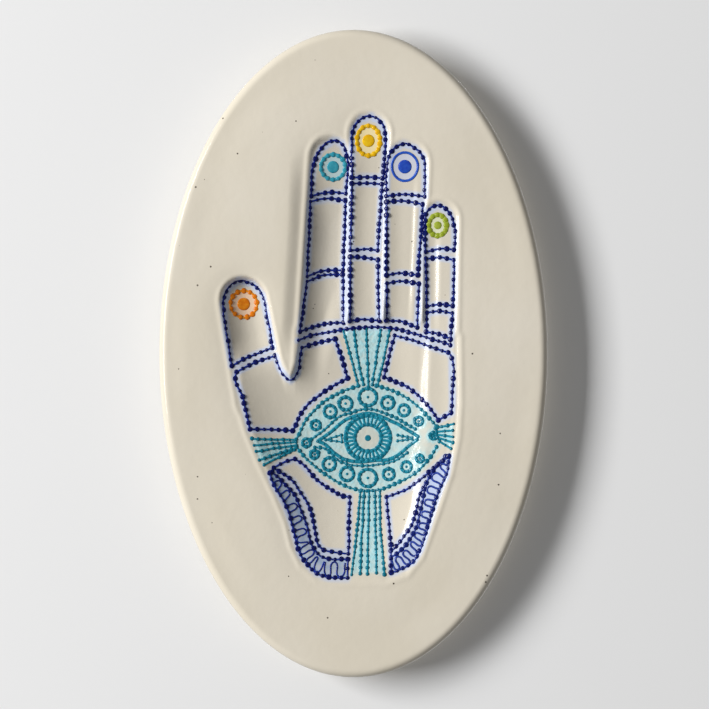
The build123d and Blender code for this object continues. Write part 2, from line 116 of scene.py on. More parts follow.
PALM_ARC = [(-22.2, 5.2), (-17.0, 7.2), (-8.0, 8.9), (-2.0, 10.0), (8.0, 10.6), (16.6, 10.0), (24.0, 8.0),
            (39.0, 3.4)]
THUMB_WEB = [(-31.4, -1.0), (-29.8, -5.8), (-26.8, -9.8), (-25.2, -10.8), (-22.6, -8.2), (-21.4, -0.4),
             (-21.0, 2.4)]
THUMB_CELL_TOP = [(-46.8, -7.4), (-39.0, -3.4), (-31.4, -1.0)]
THUMB_CELL_LEFT = [(-46.8, -7.4), (-47.4, -9.8), (-44.6, -17.0), (-41.4, -30.4)]
UPPER_LEFT_LINES = [
    [(-41.4, -30.4), (-33.0, -30.6), (-24.6, -31.2)],
    [(-24.6, -31.2), (-19.6, -22.0), (-15.0, -17.8), (-9.4, -13.8), (-2.5, -10.0)],
    [(-2.5, -10.0), (-4.8, -1.6), (-7.4, 5.8)],
    [(-7.4, 5.8), (-14.0, 4.4), (-21.0, 2.4)],
]
UPPER_RIGHT_LINES = [
    [(12.4, -9.6), (14.0, -2.2), (16.6, 7.2)],
    [(16.6, 7.2), (21.2, 6.1), (28.9, 3.4), (38.0, 0.4)],
    [(38.0, 0.4), (39.4, -1.5), (39.6, -18.4), (39.3, -23.8)],
    [(39.3, -23.8), (34.0, -26.8)],
    [(34.0, -26.8), (29.6, -20.6), (22.8, -14.2), (12.4, -9.6)],
]
LOWER_LEFT_LINES = [
    [(-1.5, -57.8), (-4.4, -57.4), (-8.2, -55.6), (-14.0, -51.5), (-21.3, -44.0), (-23.7, -42.4)],
    [(-23.7, -42.4), (-28.6, -44.0), (-32.0, -46.0)],
    [(-32.0, -46.0), (-24.2, -51.5), (-20.6, -56.9), (-17.6, -62.2), (-15.2, -72.4), (-14.0, -77.0),
     (-12.1, -78.9)],
    [(-12.1, -78.9), (-9.2, -79.6), (-2.0, -80.4)],
    [(-2.0, -80.4), (-1.9, -70.0), (-1.5, -57.8)],
]
LOWER_RIGHT_LINES = [
    [(13.4, -57.9), (17.0, -56.6), (22.8, -53.7), (30.6, -47.4), (38.0, -41.4)],
    [(33.6, -45.0), (26.6, -56.6), (24.8, -64.6), (21.8, -71.4), (16.0, -78.4), (15.0, -79.0)],
    [(13.4, -57.9), (13.9, -65.1), (14.6, -72.4), (15.0, -79.0), (15.2, -87.6)],
]
PALM_LINES = {
    "palm_arc": [PALM_ARC],
    "upper_left_panel_border": UPPER_LEFT_LINES,
    "upper_right_panel_border": UPPER_RIGHT_LINES,
    "lower_left_panel_border": LOWER_LEFT_LINES,
    "lower_right_panel_border": LOWER_RIGHT_LINES,
}
LEFT_CUFF_OUTER = [
    (-33.4, -48.0), (-32.4, -51.5), (-27.1, -61.0), (-24.4, -69.0), (-21.5, -80.1), (-17.9, -85.0),
    (-14.5, -88.1), (-10.1, -89.6), (-2.4, -89.8),
]
LEFT_CUFF_INNER = [
    (-32.6, -47.6), (-27.1, -53.0), (-23.5, -56.9), (-21.3, -62.2), (-19.1, -67.8), (-17.2, -75.4),
    (-14.0, -80.6), (-11.1, -82.1), (-2.2, -82.6),
]
LEFT_CUFF_END = [(-2.2, -82.6), (-2.4, -89.8)]
RIGHT_CUFF_OUTER = [
    (38.4, -41.2), (37.1, -49.1), (35.4, -52.0), (32.0, -61.7), (29.6, -70.0), (26.7, -78.7), (23.8, -83.5),
    (19.0, -86.2), (15.2, -87.8),
]
RIGHT_CUFF_INNER = [
    (37.0, -41.4), (30.8, -48.6), (28.6, -54.4), (27.2, -61.7), (25.2, -69.5), (22.3, -74.8), (17.5, -80.1),
    (15.1, -81.6),
]
# Each cuff's lines, its enamel and the half-width of its coil.
CUFFS = {
    "left_cuff": ([LEFT_CUFF_OUTER, LEFT_CUFF_INNER, LEFT_CUFF_END], "cobalt", 0.36),
    # The right cuff's enamel is a lighter cobalt: painted reflection of the lamp's glare on its strokes.
    "right_cuff": ([RIGHT_CUFF_OUTER, RIGHT_CUFF_INNER], "glare_lit_cobalt", 0.44),
}
# The coil's first place along the outer line, its run, and how far each point of a hairpin crosses the cuff.
COIL_START, COIL_RUN, COIL_SIDES = 0.07, 0.91, (0.06, 0.8, 0.8, 0.06)

EYE_CENTRE = (5.8, -34.1)
EYE_OUTLINE = [
    [(-23.2, -34.8), (-18.5, -26.0), (-12.4, -19.9), (-4.8, -15.3), (2.1, -13.0)],
    [(9.4, -13.0), (18.2, -16.0), (25.1, -20.6), (30.4, -26.0), (33.5, -29.4)],
    [(-23.2, -37.5), (-18.5, -42.8), (-12.4, -47.8), (-4.8, -52.8), (2.1, -55.1), (9.8, -55.1), (17.4, -52.4),
     (25.1, -47.8), (30.4, -42.1), (33.5, -37.5)],
]
LIDS_DOTTED = [
    [(-17.3, -34.7), (-11.4, -30.4), (-7.1, -26.4), (-1.8, -24.0), (6.8, -22.6), (16.4, -25.6),
     (25.0, -30.6)],
    [(-15.7, -37.9), (-11.4, -38.6), (-5.0, -43.8), (5.8, -45.2), (16.4, -43.2), (21.8, -40.0)],
]
LIDS_SOLID = [
    [(-14.6, -35.5), (-10.3, -32.5), (-1.8, -26.1), (3.1, -24.6), (6.8, -24.3), (16.4, -27.7), (26.1, -33.6)],
    [(-14.6, -35.5), (-11.4, -36.8), (-7.1, -40.6), (-2.8, -43.0), (9.0, -43.2), (15.4, -42.2),
     (25.6, -34.7)],
]
# Ringed dots in the eye's bands: (x, z, outer radius).
RINGLETS = [
    (-15.2, -28.9, 2.4), (-9.4, -23.4, 3.0), (-3.2, -20.2, 3.2), (5.8, -17.6, 4.1), (13.8, -19.9, 3.1),
    (20.3, -22.9, 2.8), (26.2, -27.2, 2.2), (-15.7, -40.7, 2.2), (-9.8, -44.6, 3.1), (-2.6, -48.6, 3.3),
    (5.8, -50.2, 4.1), (14.2, -48.7, 2.8), (21.3, -45.6, 2.6), (26.6, -42.2, 2.0), (-19.0, -36.0, 2.2),
    (32.0, -33.0, 1.9),
]
EYE_MARKS = [
    [(-11.2, -34.9), (-4.8, -32.8)], [(-11.2, -34.9), (-4.8, -35.8)], [(-4.8, -32.8), (-4.8, -35.8)],
    [(23.6, -34.0), (17.8, -32.9)], [(23.6, -34.6), (17.8, -35.3)],
]
RAYS = {
    "top_rays": [
        [(2.0, -13.0), (-1.2, -1.4), (-4.0, 9.0)], [(4.0, -12.6), (1.4, 0.0), (0.2, 9.8)],
        [(6.0, -13.6), (5.2, 10.2)], [(7.6, -12.6), (9.4, 0.0), (11.0, 9.4)],
        [(9.8, -13.0), (12.6, 0.0), (14.6, 9.4)],
    ],
    "left_rays": [
        [(-23.4, -35.0), (-40.6, -34.0)], [(-23.2, -35.8), (-39.8, -36.6)], [(-23.0, -37.0), (-39.0, -39.2)],
        [(-23.0, -38.0), (-37.8, -42.6)], [(-23.8, -38.8), (-35.8, -44.6)],
    ],
    "right_rays": [
        [(33.0, -29.8), (40.2, -28.2)], [(33.4, -31.4), (39.8, -30.8)], [(33.4, -32.6), (39.8, -33.4)],
        [(33.8, -33.8), (39.8, -35.8)], [(34.6, -35.4), (39.0, -38.2)],
    ],
    "bottom_rays": [
        [(2.6, -55.6), (1.3, -72.0), (-0.8, -88.5)], [(4.2, -55.4), (2.6, -88.2)],
        [(6.2, -55.4), (5.6, -88.2)], [(8.6, -55.4), (9.2, -87.8)],
        [(10.6, -55.4), (10.9, -70.0), (12.4, -88.6)],
    ],
}
# How strongly each rosette's enamel tints the wash inside it.
ROSETTE_WASH = {"orange": 0.45, "aqua": 0.42, "yellow": 0.45, "blue": 0.25, "green": 0.36}
# Fingertip rosettes: x, z, dot radius, the ring's half-width and half-height, its lobes, their radius, the
# line's half-width, and the enamel.
ROSETTES = {
    "thumb": (-44.2, 19.9, 2.75, 5.3, 5.4, 12, 1.15, 0.5, "orange"),
    "index": (-8.2, 74.9, 2.6, 4.9, 5.0, 14, 1.05, 0.72, "aqua"),
    "middle": (6.0, 85.3, 2.7, 4.7, 5.95, 13, 1.15, 0.75, "yellow"),
    "ring": (20.6, 74.9, 2.95, 5.2, 5.65, 0, 0.0, 0.55, "blue"),
    "little": (33.8, 51.4, 1.7, 3.6, 4.2, 11, 1.2, 0.95, "green"),
}
ROSETTE_JITTER, ROSETTE_WOBBLE = 0.12, 0.3

# Brush sizes of the turquoise strokes: half-width of the thread, radius and spacing of the beads.
TURQUOISE_BRUSHES = {
    "outline": {"thread": 0.36, "bead": 0.92, "pitch": 2.3},
    "dotted_lid": {"thread": 0.4, "bead": 0.8, "pitch": 2.1},
    "solid_lid": {"thread": 0.74, "bead": 0.72},
    "iris_rim": {"thread": 0.9, "bead": 0.95, "pitch": 2.05},
    "iris_inner": {"thread": 0.76, "bead": 0.85, "pitch": 1.9},
    "iris_spoke": {"thread": 0.5, "bead": 0.0},
    "ringlet": {"thread": 0.72, "bead": 0.84, "pitch": 2.0, "wobble": 0.3},
    "corner": {"thread": 0.36, "bead": 0.66, "pitch": 1.9},
    "ray": {"thread": 0.46, "bead": 0.78, "pitch": 2.2},
}
IRIS_INNER, IRIS_OUTER = 5.4, 9.0
PUPIL_RADIUS = 1.35
RINGLET_LINE, RINGLET_DOT, RINGLET_DOT_RISE = 0.6, 0.62, 0.2
RINGLET_KNOTS, HALO_KNOTS = 12, 8
# The first seed of each group of strokes.
SEEDS = {"contours": 0, "bands": 5, "palm": 20, "cuffs": 40, "eye": 50, "rays": 60, "rosettes": 70}


def length_property(name, description, default):
    return FloatProperty(name=name, description=description, unit="LENGTH", default=default)


def colour_property(name, description, default):
    return FloatVectorProperty(name=name, description=description, subtype="COLOR", size=3, min=0, max=1,
                               default=default)


class PlaqueShape(bpy.types.PropertyGroup):
    """Sizes of the fired body. The oval's own size comes from the frame."""

    width: length_property("Width", "Across the oval", BODY_BOX[1][0] - BODY_BOX[0][0])
    height: length_property("Height", "Up the oval", BODY_BOX[1][2] - BODY_BOX[0][2])
    face: length_property("Face", "Face level above the wall", 0.0164)
    back: length_property("Back", "Level of the slab's back above the wall", 0.0045)
    front_round: length_property("Front edge", "Radius of the front edge", 0.0034)
    back_round: length_property("Back edge", "Radius of the back edge", 0.002)
    foot_inset: length_property("Foot inset", "From the rim to the foot", 0.014)
    foot_width: length_property("Foot width", "Across the foot ring", 0.007)
    recess: length_property("Recess", "Depth of the palm's print", 0.0058)
    sag: length_property("Sag", "How far the face sags round the hand", 0.001)
    shoulder: length_property("Shoulder", "Sag beside the index finger", 0.0012)
    lip: length_property("Lip", "Height of the lip round the hand", 0.00028)
    wave: length_property("Waviness", "Unevenness of the hand-smoothed face", 0.00035)
    columns: IntProperty(name="Columns", description="Face columns of the mesh", default=292)
    rows: IntProperty(name="Rows", description="Face rows of the mesh", default=232)


class EnamelBrush(bpy.types.PropertyGroup):
    """Sizes of the enamel strokes."""

    cobalt_bead: length_property("Cobalt bead", "Bead radius", 0.00102)
    cobalt_pitch: length_property("Cobalt pitch", "Bead spacing", 0.0025)
    cobalt_thread: length_property("Cobalt thread", "Thread half-width", 0.00042)
    turquoise_bead: length_property("Turquoise bead", "Bead radius", 0.00082)
    turquoise_pitch: length_property("Turquoise pitch", "Bead spacing", 0.0027)
    turquoise_thread: length_property("Turquoise thread", "Thread half-width", 0.00038)
    rise: length_property("Rise", "How far enamel stands off the glaze", 0.00022)
    jitter: FloatProperty(name="Jitter", description="Variation in bead size", subtype="FACTOR", default=0.26)
    wobble: length_property("Wobble", "How far the hand strays from the line", 0.0008)
    seed: IntProperty(name="Seed", description="Seed of the hand's unevenness", default=7)


class PlaqueColours(bpy.types.PropertyGroup):
    """Colours of the glaze, the enamels and the hanger."""

    cream: colour_property("Cream", "Glaze", (0.640, 0.585, 0.480))
    cream_thin: colour_property("Thin cream", "Glaze where it lies thin", (0.700, 0.650, 0.560))
    # Darker cream laid inside the fingers and the upper palm: painted shade of the hand's print.
    cream_in_shade: colour_property("Deep cream", "Glaze run together in the print", (0.550, 0.505, 0.420))
    rosette_white: colour_property("Rosette white", "Pale wash inside the rosettes", (0.70, 0.68, 0.63))
    # Pale blue beside the cobalt strokes, also laid over the whole right cuff, where it is partly a paler
    # wash and partly a painted highlight of the lamp's glare.
    flush: colour_property("Flush", "Glaze bled pale beside cobalt", (0.46, 0.54, 0.74))
    bisque: colour_property("Bisque", "Unglazed clay of the foot", (0.62, 0.50, 0.36))
    speck: colour_property("Speck", "Iron specks in the clay", (0.11, 0.09, 0.07))
    cobalt: colour_property("Cobalt", "Thick cobalt enamel", (0.002, 0.0042, 0.076))
    cobalt_thin: colour_property("Thin cobalt", "Thin cobalt enamel", (0.017, 0.044, 0.33))
    # A lighter copy of the cobalt for the right cuff: painted reflection of the lamp's glare.
    glare_lit_cobalt: colour_property("Cuff blue", "Thick enamel of the right cuff", (0.004, 0.011, 0.118))
    glare_lit_cobalt_thin: colour_property("Thin cuff blue", "Thin enamel of the right cuff", (0.045, 0.088, 0.43))
    turquoise: colour_property("Turquoise", "Thick turquoise enamel", (0.004, 0.135, 0.200))
    turquoise_thin: colour_property("Thin turquoise", "Thin turquoise enamel", (0.020, 0.290, 0.400))
    aqua: colour_property("Aqua", "Thick aqua enamel", (0.025, 0.25, 0.34))
    aqua_thin: colour_property("Thin aqua", "Thin aqua enamel", (0.075, 0.40, 0.48))
    orange: colour_property("Orange", "Thick orange enamel", (0.60, 0.155, 0.004))
    orange_thin: colour_property("Thin orange", "Thin orange enamel", (0.78, 0.32, 0.02))
    yellow: colour_property("Yellow", "Thick yellow enamel", (0.64, 0.35, 0.004))
    yellow_thin: colour_property("Thin yellow", "Thin yellow enamel", (0.82, 0.58, 0.02))
    blue: colour_property("Blue", "Thick blue enamel", (0.012, 0.04, 0.33))
    blue_thin: colour_property("Thin blue", "Thin blue enamel", (0.03, 0.12, 0.52))
    green: colour_property("Green", "Thick green enamel", (0.24, 0.30, 0.02))
    green_thin: colour_property("Thin green", "Thin green enamel", (0.46, 0.52, 0.10))
    turquoise_wash: colour_property("Turquoise wash", "Pale wash under the rays", (0.31, 0.65, 0.72))
    cobalt_wash: colour_property("Cobalt wash", "Pale wash under the cuffs", (0.24, 0.35, 0.53))
    steel: colour_property("Steel", "Plated hanger", (0.58, 0.57, 0.54))
    epoxy: colour_property("Epoxy", "Cured epoxy", (0.62, 0.55, 0.40))


class PlaqueStage(bpy.types.PropertyGroup):
    """The wall, the light and the camera."""

    lens: FloatProperty(name="Lens", description="Focal length in millimetres", default=100.0)
    frame_width: length_property("Framed width", "Width of the wall that the picture takes in", 0.2836)
    aim_x: length_property("Aim across", "Picture centre across the face", 0.0004)
    aim_z: length_property("Aim up", "Picture centre up the face", -0.0004)
    wall: colour_property("Wall", "Pale backdrop", (0.74, 0.74, 0.74))
    key: FloatProperty(name="Key", description="Lamp at the left", unit="POWER", default=139.0)
    back: FloatProperty(name="Back", description="Lamp behind the wall", unit="POWER", default=34.0)
    fill: FloatProperty(name="Fill", description="Strength of the light all round", default=0.24)


def lerp(a, b, share):
    """The point at a share of the way from a to b."""
    return (a[0] + (b[0] - a[0]) * share, a[1] + (b[1] - a[1]) * share)


# Shape of the pressed face

FAR, TINY = 1e9, 1e-12
RAMP_EASE = 0.16
GRID_STEP = 1.0
GRID_X = np.arange(-84.0, 84.5, GRID_STEP)
GRID_Z = np.arange(-134.0, 134.5, GRID_STEP)
EDGE_OUTSIDE_BEADS, EDGE_SOFTNESS, EDGE_WALL = 1.5, 0.5, 1.6
WALL_CURVE = 2.2
PRINT_BLEND = 1.2
SAG_SPREAD, SAG_SHIFT = 4.5, 3.0
LIP_AT, LIP_WIDTH = 2.3, 1.0
# The face is calm towards the rim, given as shares of the oval.
RIM_CALM = (0.84, 0.95)
# Slow waves of the hand-smoothed face: strength, lengths across and up, phase.
WAVES = ((1.0, 17.0, 29.0, 0.6), (0.7, 11.0, -21.0, 2.1), (0.6, math.inf, 13.0, 1.2))

# Towards its tip a finger's print is shallow and loses its shelf. Reaches are shares of the way to the root.
TIP_SHARE, TIP_REACH, SHELF_REACH = 0.4, 0.35, 0.25
# The face sags beside the index finger: the levels where that starts and ends, and its fading to each side.
SHOULDER_STARTS, SHOULDER_ENDS = (-6.0, 14.0), (60.0, 86.0)
SHOULDER_LEFT, SHOULDER_RIGHT = (2.0, 8.5), (0.0, 44.0)
# The two levels between which the palm's print turns into the fingers' prints: at the thumb, and how far each
# moves past the thumb and past the index finger.
PAST_THUMB, PAST_INDEX = (-38.0, -17.0), (-17.0, -6.0)
PALM_TO_FINGERS = ((-11.0, -11.0, 24.0), (8.0, -2.0, 22.0))

# The palm's print: shares of its depth, reaches inwards from its right side, levels below the oval's centre.
PALM_WALL, PALM_SPREAD = 3.0, 12.0
WRIST_SHALLOWER, WRIST_LEVELS = 0.35, (40.0, 85.0)
SIDE_TAPER, SIDE_LEVELS = 0.5, (42.0, 74.0)
SHELF_FALLS = ((0.05, 3.0), (0.25, 14.0))
SLOPE_AT, SLOPE_WIDTH = 11.0, 4.8
SLOPE_SHIFT, SHIFT_LEVELS = 0.8, (-4.0, 16.0)
SLOPE_FALL, MORE_FALL, FALL_LEVELS = 0.26, 0.09, (-6.0, 14.0)
GENTLE, GENTLE_FROM, GENTLE_UNTIL = 0.34, (19.0, 27.0), (46.0, 55.0)
GENTLE_BEFORE, GENTLE_AFTER = 3.0, 6.0
MIDDLE_FALL, MIDDLE_REACH = 0.35, (14.0, 28.0)
WRIST_FALL, WRIST_FALL_LEVELS = 0.4, (46.0, 56.0)
CUFF_STEP_AT, CUFF_STEP_HALF, CUFF_LEVELS = 10.6, 1.5, (40.0, 52.0)
CUFF_STEP_SHIFT, CUFF_SHIFT_LEVELS = 1.7, (50.0, 66.0)
CUFF_SHARE, CUFF_SHARE_LEVELS = (0.38, 0.8), (50.0, 76.0)
RIGHT_EDGE_DROP, RIGHT_EDGE_RAMP, RIGHT_EDGE_REACH = 0.43, (0.3, 1.3), (4.0, 12.0)


def smoothstep(low, high, value):
    """0 below, 1 above, and a smooth rise between them."""
    t = np.clip((value - low) / (high - low), 0.0, 1.0)
    return t * t * (3.0 - 2.0 * t)


def even_ramp(low, high, value):
    """0 below, 1 above, and a straight slope between them with eased ends."""
    width = high - low
    ease = RAMP_EASE * width
    return 0.5 * (width + np.hypot(value - low, ease) - np.hypot(value - high, ease)) / width


def smooth_max(a, b, blend):
    """The larger of two depths, with a rounded change from one to the other."""
    larger = np.maximum(a, b)
    share = np.clip(blend - np.abs(a - b), 0.0, None) / blend
    return larger + share * share * blend / 4.0 * smoothstep(0.0, blend, larger)


def finger_place(x, z, finger):
    """Distance outside a finger's print, below 0 inside, the way across it from its middle, its half-width,
    and the share of the way from tip to root."""
    tip_x, tip_z, tip_radius, root_x, root_z, root_radius = finger[:6]
    along_x, along_z = root_x - tip_x, root_z - tip_z
    length = math.hypot(along_x, along_z)
    along_x, along_z = along_x / length, along_z / length
    run = (x - tip_x) * along_x + (z - tip_z) * along_z
    side = (z - tip_z) * along_x - (x - tip_x) * along_z
    across = np.abs(side)
    lean = (tip_radius - root_radius) / length
    rise = math.sqrt(1.0 - lean * lean)
    reach = run * rise - across * lean
    body = across * rise + run * lean - tip_radius
    tip = np.hypot(across, run) - tip_radius
    root = np.hypot(across, run - length) - root_radius
    distance = np.where(reach < 0.0, tip, np.where(reach > length * rise, root, body))
    along = np.clip(run / length, 0.0, 1.0)
    return distance, side, tip_radius + (root_radius - tip_radius) * along, along


def line_distance(x, z, points):
    """Distance from a line of straight runs."""
    nearest = np.full(x.shape, FAR)
    for (ax, az), (bx, bz) in zip(points, points[1:]):
        ex, ez = bx - ax, bz - az
        share = np.clip(((x - ax) * ex + (z - az) * ez) / max(ex * ex + ez * ez, TINY), 0.0, 1.0)
        nearest = np.minimum(nearest, np.hypot(x - ax - ex * share, z - az - ez * share))
    return nearest


def polygon_distance(x, z, corners):
    """Distance outside a polygon, below 0 inside."""
    outline = corners + corners[:1]
    inside = np.zeros(x.shape, dtype=bool)
    for (ax, az), (bx, bz) in zip(outline, outline[1:]):
        crosses = (az > z) != (bz > z)
        inside ^= crosses & (x < ax + (z - az) * (bx - ax) / ((bz - az) or 1.0))
    nearest = line_distance(x, z, outline)
    return np.where(inside, -nearest, nearest)


def trough(inside, wall):
    """Share of a print's depth at a distance inside its softened edge: 0 outside, 1 past its wall."""
    inside = 0.5 * (inside + np.sqrt(inside * inside + EDGE_SOFTNESS * EDGE_SOFTNESS))
    return 1.0 - np.power(1.0 - np.clip(inside / wall, 0.0, 1.0), WALL_CURVE)


def hand_distance(x, z):
    """Distance outside the whole hand's outline, below 0 inside."""
    nearest = polygon_distance(x, z, PALM_EDGE)
    for finger in FINGER_PRINTS.values():
        nearest = np.minimum(nearest, finger_place(x, z, finger)[0])
    return nearest


def blurred_hand(x, z, spread):
    """The hand's area, 1 inside and 0 outside, blurred so that its slopes have no creases."""
    area = np.clip(0.5 - hand_distance(*np.meshgrid(GRID_X, GRID_Z)), 0.0, 1.0)
    reach = np.arange(-3 * spread, 3 * spread + GRID_STEP, GRID_STEP)
    bell = np.exp(-0.5 * (reach / spread) ** 2)
    for axis in (0, 1):
        area = np.apply_along_axis(np.convolve, axis, area, bell / bell.sum(), mode="same")
    column = (x - GRID_X[0]) / GRID_STEP
    row = (z - GRID_Z[0]) / GRID_STEP
    left, low = column.astype(int), row.astype(int)
    across, up = column - left, row - low
    lower = area[low, left] * (1.0 - across) + area[low, left + 1] * across
    upper = area[low + 1, left] * (1.0 - across) + area[low + 1, left + 1] * across
    return lower * (1.0 - up) + upper * up


def palm_right_side(inwards, below):
    """Share of the palm's depth inwards from its right side: a shelf, a short slope, then the middle."""
    right = sum(share * smoothstep(0.0, reach, inwards) for share, reach in SHELF_FALLS)
    gentle = GENTLE * smoothstep(*GENTLE_FROM, below) * (1.0 - smoothstep(*GENTLE_UNTIL, below))
    slope_at = SLOPE_AT + SLOPE_SHIFT * smoothstep(*SHIFT_LEVELS, below)
    slope_end = slope_at + SLOPE_WIDTH + GENTLE_AFTER * gentle
    fall = SLOPE_FALL + MORE_FALL * smoothstep(*FALL_LEVELS, below)
    right = right + fall * smoothstep(slope_at - GENTLE_BEFORE * gentle, slope_end, inwards)
    right = right + MIDDLE_FALL * smoothstep(*MIDDLE_REACH, inwards)
    return right + WRIST_FALL * smoothstep(*WRIST_FALL_LEVELS, below)


def palm_depth(x, z, outside, deepest):
    """A bowl that is steep at the left and gentle at the right, with a step beside the right cuff."""
    below = -z
    deepest = deepest * (1.0 - WRIST_SHALLOWER * smoothstep(*WRIST_LEVELS, below))
    bowl = np.clip(2.0 * blurred_hand(x, z, PALM_SPREAD) - 1.0, 0.0, 1.0)
    bowl = deepest * bowl * trough(EDGE_OUTSIDE_BEADS - outside, PALM_WALL)
    from_right = line_distance(x, z, PALM_RIGHT_SIDE)
    inwards = from_right / (1.0 - SIDE_TAPER * smoothstep(*SIDE_LEVELS, below))
    right = deepest * palm_right_side(inwards, below)
    hollow = bowl + right - smooth_max(bowl, right, PRINT_BLEND)
    step_at = CUFF_STEP_AT - CUFF_STEP_SHIFT * smoothstep(*CUFF_SHIFT_LEVELS, below)
    on_cuff = 1.0 - even_ramp(step_at - CUFF_STEP_HALF, step_at + CUFF_STEP_HALF, from_right)
    share = CUFF_SHARE[0] + (CUFF_SHARE[1] - CUFF_SHARE[0]) * smoothstep(*CUFF_SHARE_LEVELS, below)
    hollow = hollow * (1.0 - share * on_cuff * smoothstep(*CUFF_LEVELS, below))
    edge = even_ramp(*RIGHT_EDGE_RAMP, EDGE_OUTSIDE_BEADS - outside)
    return hollow + RIGHT_EDGE_DROP * (edge * (1.0 - smoothstep(*RIGHT_EDGE_REACH, from_right)))


def finger_depth(x, z, finger):
    """A trough with a long slope at its left and a shelf at its right."""
    distance, side, half_width, along = finger_place(x, z, finger)
    depth, left_wall, shelf, slope_at, slope_half = finger[6:]
    edge = trough(EDGE_OUTSIDE_BEADS - distance, EDGE_WALL)
    left = trough(EDGE_OUTSIDE_BEADS + half_width + side, left_wall)
    inwards = EDGE_OUTSIDE_BEADS + half_width - side
    shallow = (1.0 - shelf) * (1.0 - smoothstep(slope_at - slope_half, slope_at + slope_half, inwards))
    tip_share = 1.0 if finger is FINGER_PRINTS["thumb"] else TIP_SHARE
    towards_tip = 1.0 - (1.0 - tip_share) * (1.0 - smoothstep(0.0, TIP_REACH, along))
    return depth * towards_tip * edge * left * (1.0 - shallow * smoothstep(0.0, SHELF_REACH, along))


def shoulder_mask(x, z):
    """1 from the index finger's left side rightwards, fading to the left of it and past the fingers."""
    side_x, side_z = zip(*INDEX_LEFT_SIDE)
    leftwards = np.interp(z, side_z, side_x) - x
    ends = smoothstep(*SHOULDER_STARTS, z) * (1.0 - smoothstep(*SHOULDER_ENDS, z))
    return ends * (1.0 - smoothstep(*SHOULDER_LEFT, leftwards)) * (1.0 - smoothstep(*SHOULDER_RIGHT, x))


def face_height(x, z, shape):
    """Height of the face above its flat level, in millimetres."""
    outside = hand_distance(x, z)
    fingers = np.zeros(x.shape)
    for finger in FINGER_PRINTS.values():
        fingers = smooth_max(fingers, finger_depth(x, z, finger), PRINT_BLEND)
    past_thumb = smoothstep(*PAST_THUMB, x)
    past_index = smoothstep(*PAST_INDEX, x)
    low, high = (level + thumb * past_thumb + index * past_index for level, thumb, index in PALM_TO_FINGERS)
    palm = palm_depth(x, z, outside, shape.recess / MM)
    depth = palm + (fingers - palm) * smoothstep(low, high, z)
    sag = shape.sag / MM * blurred_hand(x + SAG_SHIFT, z, SAG_SPREAD)
    sag = sag + shape.shoulder / MM * shoulder_mask(x, z)
    lip = shape.lip / MM * np.exp(-(((outside - LIP_AT) / LIP_WIDTH) ** 2))
    waves = sum(size * np.sin(x / across + z / up + phase) for size, across, up, phase in WAVES)
    wave = shape.wave / MM / 2 * waves
    rim = np.hypot(x / (shape.width / MM / 2), z / (shape.height / MM / 2))
    calm = 1.0 - smoothstep(*RIM_CALM, rim)
    return (lip - sag + wave) * calm - depth


# Washes of colour on the face: strengths, and the distances over which they fade

# Pale bleeding beside the cobalt strokes, and its strength over the right cuff, where it is partly a painted
# highlight of the lamp's glare.
FLUSH_BESIDE, FLUSH_FADE, RIGHT_CUFF_GLARE = 0.85, (0.7, 2.0), 0.9
CUFF_SOFT, RAY_SOFT, EYE_SOFT = 0.5, 0.7, 1.2
# Painted shade inside the print: its strength, its edge at the hand's outline, and the levels over which it
# fades towards the wrist.
PRINT_SHADE_SHARE, PRINT_SHADE_EDGE, PRINT_SHADE_LEVELS = 0.6, (-1.0, 1.5), (-66.0, -30.0)
EYE_WASH, EYE_WASH_LOST, EYE_RIGHT_END = 0.8, 0.5, (19.0, 27.0)
HALO_FADE = (0.5, 1.9)
IRIS_WASH, IRIS_STARTS, IRIS_ENDS = 1.35, (4.2, 4.9), (8.8, 9.6)
PUPIL_WASH, PUPIL_EDGE = 0.36, (4.0, 4.9)
# The right cuff takes little cobalt wash, so that its pale ground shows: partly a painted highlight of the
# lamp's glare.
RIGHT_CUFF_WASH = 0.15
ROSETTE_REACH, ROSETTE_EDGE = 1.4, (0.92, 1.06)


def area_mask(x, z, corners, soft):
    """1 inside an area of the drawing, fading to 0 over a soft edge."""
    return 1.0 - smoothstep(-soft, soft, polygon_distance(x, z, corners))


def cuff_mask(x, z, node):
    """1 between a cuff's two lines."""
    outer, inner = CUFFS[node][0][:2]
    return area_mask(x, z, outer + inner[::-1], CUFF_SOFT)


def band_stroke(name, ends):
    """A bead band across a finger, lifted in its middle."""
    left, right = ends
    middle = lerp(left, right, 0.5)
    return [left, (middle[0], middle[1] + BAND_RISE[name]), right]


def finger_strokes(name):
    """A finger's contour strokes and its bands."""
    stations = FINGER_STATIONS[name]
    contour = [[stations[0][0], *FINGER_ARCHES[name], stations[0][1]]]
    for upper, lower in zip(stations[1::2], stations[2::2]):
        contour += [[upper[0], lower[0]], [upper[1], lower[1]]]
    bands = [band_stroke(name, ends) for ends in stations]
    if name == "thumb":
        contour += [THUMB_WEB, THUMB_CELL_LEFT]
        bands.append(THUMB_CELL_TOP)
    return contour, bands


def nearest_stroke(x, z, strokes):
    """Distance from the nearest of several strokes."""
    nearest = np.full(x.shape, FAR)
    for stroke in strokes:
        nearest = np.minimum(nearest, line_distance(x, z, stroke))
    return nearest


def bleed_and_glare_mask(x, z):
    """Where the glaze has bled pale beside the cobalt strokes, and the pale ground over the right cuff, which
    is partly a paler wash and partly a painted highlight of the lamp's glare.
    """
    strokes = [stroke for lines in PALM_LINES.values() for stroke in lines]
    strokes += [stroke for name in FINGER_STATIONS for group in finger_strokes(name) for stroke in group]
    strokes += [stroke for lines, _, _ in CUFFS.values() for stroke in lines[:2]]
    beside = FLUSH_BESIDE * (1.0 - smoothstep(*FLUSH_FADE, nearest_stroke(x, z, strokes)))
    # Over the right cuff: pale ground, partly a painted highlight of the lamp's glare.
    return np.maximum(beside, RIGHT_CUFF_GLARE * cuff_mask(x, z, "right_cuff"))


